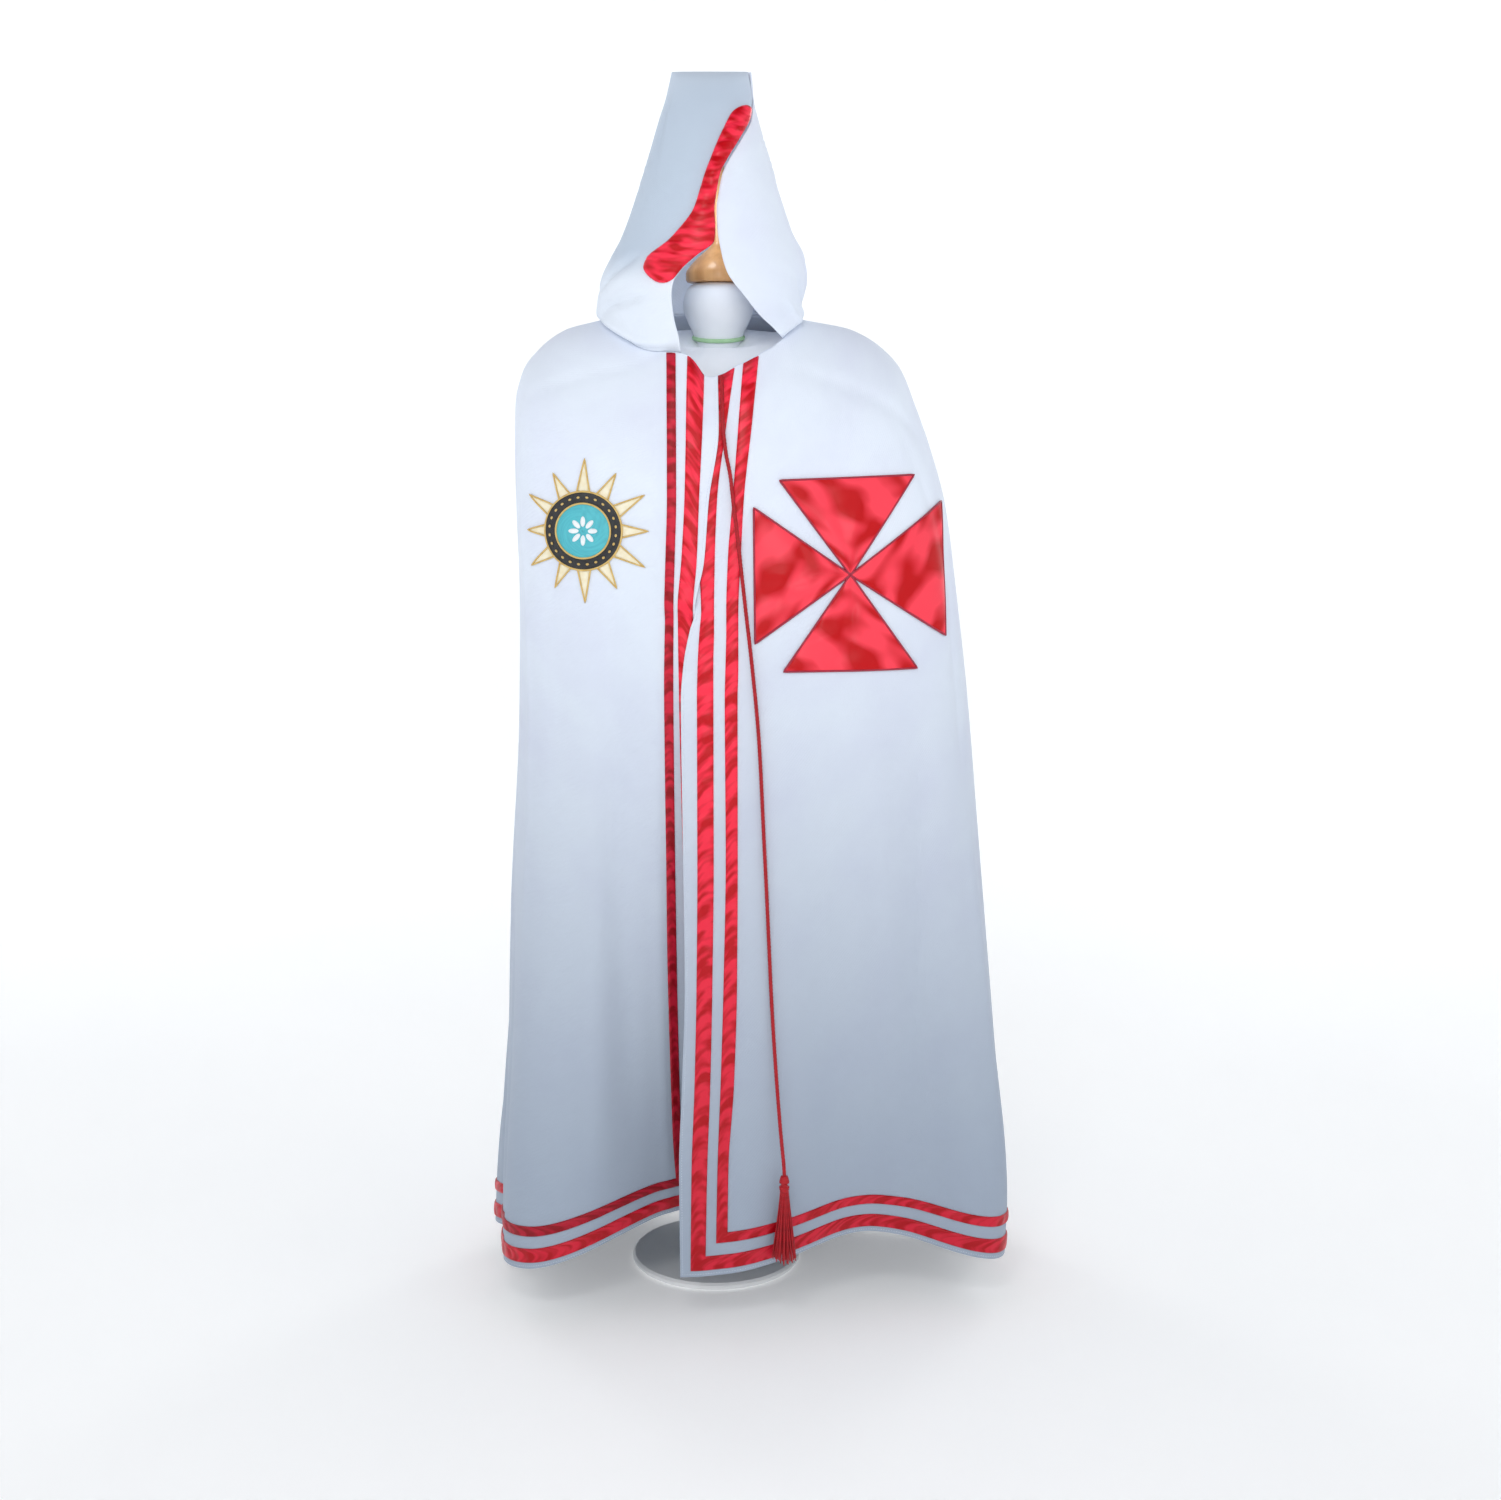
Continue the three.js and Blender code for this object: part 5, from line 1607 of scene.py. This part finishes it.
@dataclass
class Hood:
    """The standing hood: two halves and the rolled satin band of its opening."""

    shape: CapeShape
    foot: float = NECK_LEVEL + SEAM_GAP
    top: float = CROWN_LEVEL
    band_low: float = 1306.0
    band_high: float = 1535.0
    puff: float = 5.2

    def levels(self) -> Grid:
        """Levels of the halves' rows."""
        parts = [np.array([self.top, self.top - 0.8]), np.linspace(self.top - 2.5, 1560, 12)]
        parts += [np.linspace(1557, self.foot + 2.2, 100), np.array([self.foot + 0.9, self.foot])]
        return np.concatenate(parts)

    def build(self) -> list[Piece]:
        rows = self.levels()
        left_edge = self.shape.hood_turn(self.shape.hood_left, rows, 1)
        left_seam = -2 * SIDE + SEAM_GAP / 2 / self.shape.hood_rings.at(rows, 2)
        right_edge = self.shape.hood_turn(self.shape.hood_right, rows, 0)
        right_seam = 2 * SIDE - SEAM_GAP / 2 / self.shape.hood_rings.at(rows, 3)
        band = self._band()
        left = self._half("left", rows, left_seam, left_edge)
        right = self._half("right", rows, right_edge, right_seam)
        return [left, right, band]

    def _half(self, name: str, rows: Grid, first: Grid, last: Grid) -> Piece:
        """Makes one half of the hood."""
        share = edge_spaced(78, 0.003)[None, :]
        turn = first[:, None] * (1 - share) + last[:, None] * share
        # The left half gets the wool with painted shade, and a painted highlight on its low folds
        finish = FINISHES.hood_wool_painted_shade if name == "left" else FINISHES.wool
        return lined_panel(
            f"hood_half_{name}", f"hood_{name}", self.shape.hood, rows, turn, finish
        )

    def _band(self) -> Piece:
        """The rolled band, rounded at both ends."""
        t = np.linspace(0, 1, 130)[:, None]
        across = edge_spaced(12, 0.03)[None, :]
        height = self.band_high + (self.band_low - self.band_high) * t
        level = height.copy()
        for _ in range(30):
            level = level + SEARCH_SHARE * (height - level - self.shape.hood_rings.at(level, 0))
        level = np.broadcast_to(level, (130, across.size))
        out = self.shape.hood_turn(self.shape.hood_left, level, 0)
        edge = self.shape.hood_turn(self.shape.hood_left, level, 1)
        near = np.minimum(t / 0.045, (1 - t) / 0.06)
        width = np.sqrt(np.clip(1 - (1 - np.clip(near, 0, 1)) ** 2, 0.02, 1))
        place = 0.5 + (across - 0.5) * width
        turn = out * (1 - place) + edge * place
        along = row_lengths(self.shape.hood.point(level, turn), 0)[:, across.size // 2][:, None]
        roll = self.puff * (4 * across * (1 - across)) ** 0.55 * width
        face = BAND_HIGH + roll + puckers(along, across, 71, 17.0, 1.5) * width
        face[:, [0, -1]] = BAND_LOW + 0.4
        face = np.maximum(face, BAND_LOW + 0.3)
        made = self.shape.hood.wall("satin_hood_roll", level, turn, face, BAND_LOW)
        return dress(made, FINISHES.satin, Slot.SATIN, "hood_band")


@dataclass
class DressForm:
    """The limbless form inside, its wooden cap, the hood's rest, the pole and the base."""

    shape: CapeShape
    neck_x: float = 7.0
    under_cloth: float = 4.0
    sides: int = 96
    tape: float = 2.6
    tape_ring: float = 31.5
    tape_level: float = 1262.0
    tape_dip: float = 12.0

    def build(self) -> None:
        """Makes the form's padded and turned pieces and dresses those kept from the frame."""
        dress(self._torso(), FINISHES.cover, Slot.LINEN, "form_torso")
        neck = lathe("form_neck_cover", NECK_PROFILE, 64, self.neck_x, 0)
        dress(neck, FINISHES.cover, Slot.LINEN, "form_neck")
        cap = lathe("turned_wooden_cap", CAP_PROFILE, 48, self.neck_x, 0)
        dress(cap, FINISHES.beech, Slot.WOOD, "form_cap")
        turn = closed_ring(60)
        height = self.tape_level - self.tape_dip * (1 + np.cos(turn)) / 2
        across = self.neck_x + self.tape_ring * np.sin(turn)
        path = np.stack([across, -self.tape_ring * np.cos(turn), height], axis=-1)
        tape = rope_object("neck_seam_tape", [Rope(self.tape, sides=8).mesh(path, True)])
        dress(tape, FINISHES.seam_tape, Slot.LINEN)
        for name, finish, slot in (
            ("hood_rest", FINISHES.beech, Slot.WOOD),
            ("stand_pole", FINISHES.powder_coat, Slot.STEEL),
            ("stand_base", FINISHES.powder_coat, Slot.STEEL),
        ):
            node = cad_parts[name]
            node.data.materials.clear()
            node.data.materials.append(material(finish))
            LOG.info("%s: kept from the frame, slot %s", name, slot.value)

    def _torso(self) -> Piece:
        """Padded torso: its tilted neck opening, its top under the cloth, then its own rings."""
        turn = np.linspace(0, 2 * math.pi, self.sides + 1)[:-1]
        rings: list[Grid] = []
        for level, radius in ((1268, 25), (1270, 30), (1270, 38), (1270, 47), (1269, 55)):
            tilt = (level - 1236) * ease(0, 1, (1 + np.cos(turn)) / 2) * 0.85
            x = self.neck_x + radius * np.sin(turn)
            rings.append(np.stack([x, -radius * np.cos(turn), level - tilt], axis=-1))
        body = self.shape.panels[Part.BACK]
        for level in (1268, 1262, 1256, 1248, 1240):
            rings.append(body.lifted(np.full(self.sides, float(level)), turn, -self.under_cloth))
        form = Rings(FORM_RINGS)
        low = [650, 645, 641, 640]
        levels = np.concatenate([np.linspace(1205, 1000, 26), np.linspace(990, 655, 40), low])
        rings += [form.point(np.full(self.sides, value), turn)[0] for value in levels]
        points = np.array(rings)
        index = looped(len(rings), len(turn))
        faces = grid_faces(index).tolist()
        faces.append(index[0, :-1].tolist())
        faces.append(index[-1, :-1][::-1].tolist())
        return new_object("dress_form_torso", points, faces)


@dataclass
class Stitching:
    """Rows of machine stitches, set along paths on the cloth by Geometry Nodes."""

    shape: CapeShape
    bands: Bands
    pitch: float = 3.4
    length: float = 2.5
    width: float = 0.55
    from_hem: float = 4.0
    from_edge: float = 3.4
    from_side: float = 0.004
    from_seam: float = 5.5
    over_cloth: float = 0.1

    def tree(self, name: str, finish: Finish) -> bpy.types.NodeTree:
        """Builds the node tree that sets a stitch at every pitch along the edges of a mesh."""
        tree = bpy.data.node_groups.new(name, "GeometryNodeTree")
        sockets = tree.interface
        sockets.new_socket("Geometry", in_out="INPUT", socket_type="NodeSocketGeometry")
        for label in ("Pitch", "Length", "Width"):
            sockets.new_socket(label, in_out="INPUT", socket_type="NodeSocketFloat")
        sockets.new_socket("Geometry", in_out="OUTPUT", socket_type="NodeSocketGeometry")
        given = add_node(tree, "NodeGroupInput")
        curve = add_node(tree, "GeometryNodeMeshToCurve", {}, {"Mesh": given.outputs["Geometry"]})
        row = add_node(
            tree, "GeometryNodeCurveToPoints", {"mode": "LENGTH"},
            {"Curve": curve.outputs["Curve"], "Length": given.outputs["Pitch"]},
        )
        turned = add_node(
            tree, "FunctionNodeAlignRotationToVector", {"axis": "X"}, {"Vector": row.outputs["Tangent"]}
        )
        stitch = add_node(tree, "GeometryNodeMeshIcoSphere", {}, {"Radius": 0.5, "Subdivisions": 1})
        uneven = add_node(
            tree, "FunctionNodeRandomValue", {"data_type": "FLOAT"}, {2: 0.82, 3: 1.12, "Seed": 5}
        )
        longer = add_node(
            tree, "ShaderNodeMath", {"operation": "MULTIPLY"},
            {0: given.outputs["Length"], 1: uneven.outputs[1]},
        )
        size = add_node(
            tree, "ShaderNodeCombineXYZ", {},
            {"X": longer.outputs[0], "Y": given.outputs["Width"], "Z": given.outputs["Width"]},
        )
        placed = add_node(
            tree, "GeometryNodeInstanceOnPoints", {},
            {
                "Points": row.outputs["Points"], "Instance": stitch.outputs["Mesh"],
                "Rotation": turned.outputs["Rotation"], "Scale": size.outputs["Vector"],
            },
        )
        real = add_node(tree, "GeometryNodeRealizeInstances", {}, {"Geometry": placed.outputs["Instances"]})
        painted = add_node(
            tree, "GeometryNodeSetMaterial", {},
            {"Geometry": real.outputs["Geometry"], "Material": material(finish)},
        )
        add_node(tree, "NodeGroupOutput", {}, {0: painted.outputs["Geometry"]})
        return tree

    def rows(self, name: str, paths: list[Grid], finish: Finish, slot: Slot) -> Piece:
        """Makes one piece of all the stitches along some paths.

        Args:
            name: the piece's name.
            paths: places along each row, in millimetres.
            finish: the thread's finish.
            slot: its material slot.

        Returns:
            The piece.
        """
        edges: list[tuple[int, int]] = []
        count = 0
        for path in paths:
            edges += [(count + k, count + k + 1) for k in range(len(path) - 1)]
            count += len(path)
        mesh = bpy.data.meshes.new(f"{name}_rows")
        mesh.from_pydata((np.concatenate(paths) * MM).tolist(), edges, [])
        source = bpy.data.objects.new(f"{name}_rows", mesh)
        bpy.context.scene.collection.objects.link(source)
        tree = self.tree(f"{name}_tree", finish)
        modifier = source.modifiers.new("stitches", "NODES")
        modifier.node_group = tree
        sizes = {"Pitch": self.pitch, "Length": self.length, "Width": self.width}
        for socket in tree.interface.items_tree:
            if socket.in_out == "INPUT" and socket.name in sizes:
                modifier[socket.identifier] = sizes[socket.name] * MM
        graph = bpy.context.evaluated_depsgraph_get()
        made = bpy.data.meshes.new_from_object(source.evaluated_get(graph), depsgraph=graph)
        bpy.data.objects.remove(source)
        piece = bpy.data.objects.new(name, made)
        bpy.context.scene.collection.objects.link(piece)
        made.polygons.foreach_set("use_smooth", np.ones(len(made.polygons), bool))
        return dress(piece, finish, slot)

    def band_rows(self, part: Part) -> list[Grid]:
        """Rows just inside both edges of the bands on a panel."""
        across = np.array([0.0, 0.07, 0.93, 1.0])
        paths: list[Grid] = []
        for band in ("broad", "narrow"):
            level, turn = self.bands.lines(part, band, across)
            places = self.shape.panels[part].lifted(level, turn, BAND_HIGH + 0.25)
            paths += [places[:, 1], places[:, 2]]
        return paths

    def hem_rows(self, part: Part) -> list[Grid]:
        """Hem stitching near the cloth's lower edge, and beside a front's edge."""
        hem = HEM_LEVEL + self.from_hem
        rows = np.linspace(1276, hem, 260)
        if part is Part.BACK:
            turn = np.linspace(SIDE + self.from_side, 3 * SIDE - self.from_side, 240)
            level = np.full(240, hem)
        else:
            edge = self.shape.stripe_x(part, rows, 4)
            sign = 1 if part is Part.RIGHT else -1
            down = self.shape.cape.turn_at(rows, edge + sign * self.from_edge)
            round_hem = np.linspace(down[-1], sign * (SIDE - self.from_side), 150)[1:]
            turn = np.concatenate([down, round_hem])
            level = np.concatenate([rows, np.full(149, hem)])
        return [self.shape.panels[part].lifted(level, turn, CLOTH_HALF + self.over_cloth)]

    def seam_rows(self) -> list[Grid]:
        """Stitching beside the hood's back seam and above its neck seam."""
        shape = self.shape
        rows = np.linspace(1572, 1288, 120)
        half = shape.hood_rings.at(rows, 2)
        above = np.full(120, 1285.0)
        left = float(shape.hood_turn(shape.hood_left, above[:1], 1)[0])
        right = float(shape.hood_turn(shape.hood_right, above[:1], 0)[0])
        lines = [(rows, math.pi + sign * self.from_seam / half) for sign in (-1, 1)]
        lines.append((above, np.linspace(left - 0.03, -math.pi + 0.02, 120)))
        lines.append((above, np.linspace(right + 0.03, math.pi - 0.02, 120)))
        return [shape.hood.lifted(level, turn, CLOTH_HALF + self.over_cloth) for level, turn in lines]

    def build(self, part: Part) -> list[Piece]:
        """Makes the stitches of one panel."""
        name = part.value
        return [
            self.rows(f"band_stitches_{name}", self.band_rows(part), FINISHES.sewing_thread, Slot.SATIN),
            self.rows(f"hem_stitches_{name}", self.hem_rows(part), FINISHES.hem_thread, Slot.CLOTH),
        ]


def main() -> None:
    """Makes the camera and the cord first, then the cape, its form and the stage."""
    logging.basicConfig(level=logging.INFO, format="%(name)s %(message)s")
    studio = Studio()
    studio.camera()
    NeckCord().build()
    shape = CapeShape()
    bands = Bands(shape)
    stitching = Stitching(shape, bands)
    seed = 20
    sewn: dict[Part, list[Piece]] = {}
    for part in Part:
        sewn[part] = stitching.build(part)
        for band in ("broad", "narrow"):
            seed += 1
            sewn[part].append(bands.build(part, band, seed))
    cross = Cross(shape)
    for name, degrees, number in CROSS_ARMS:
        sewn[Part.RIGHT] += cross.build(name, degrees, number)
    sewn[Part.LEFT] += Badge(shape).build()
    DressForm(shape).build()
    panels = Panels(shape)
    for part in Part:
        panels.build(part, sewn[part])
    Hood(shape).build()
    stitching.rows("hood_seam_stitches", stitching.seam_rows(), FINISHES.hem_thread, Slot.CLOTH)
    studio.stage()
    studio.light()


if __name__ == "__main__":
    main()
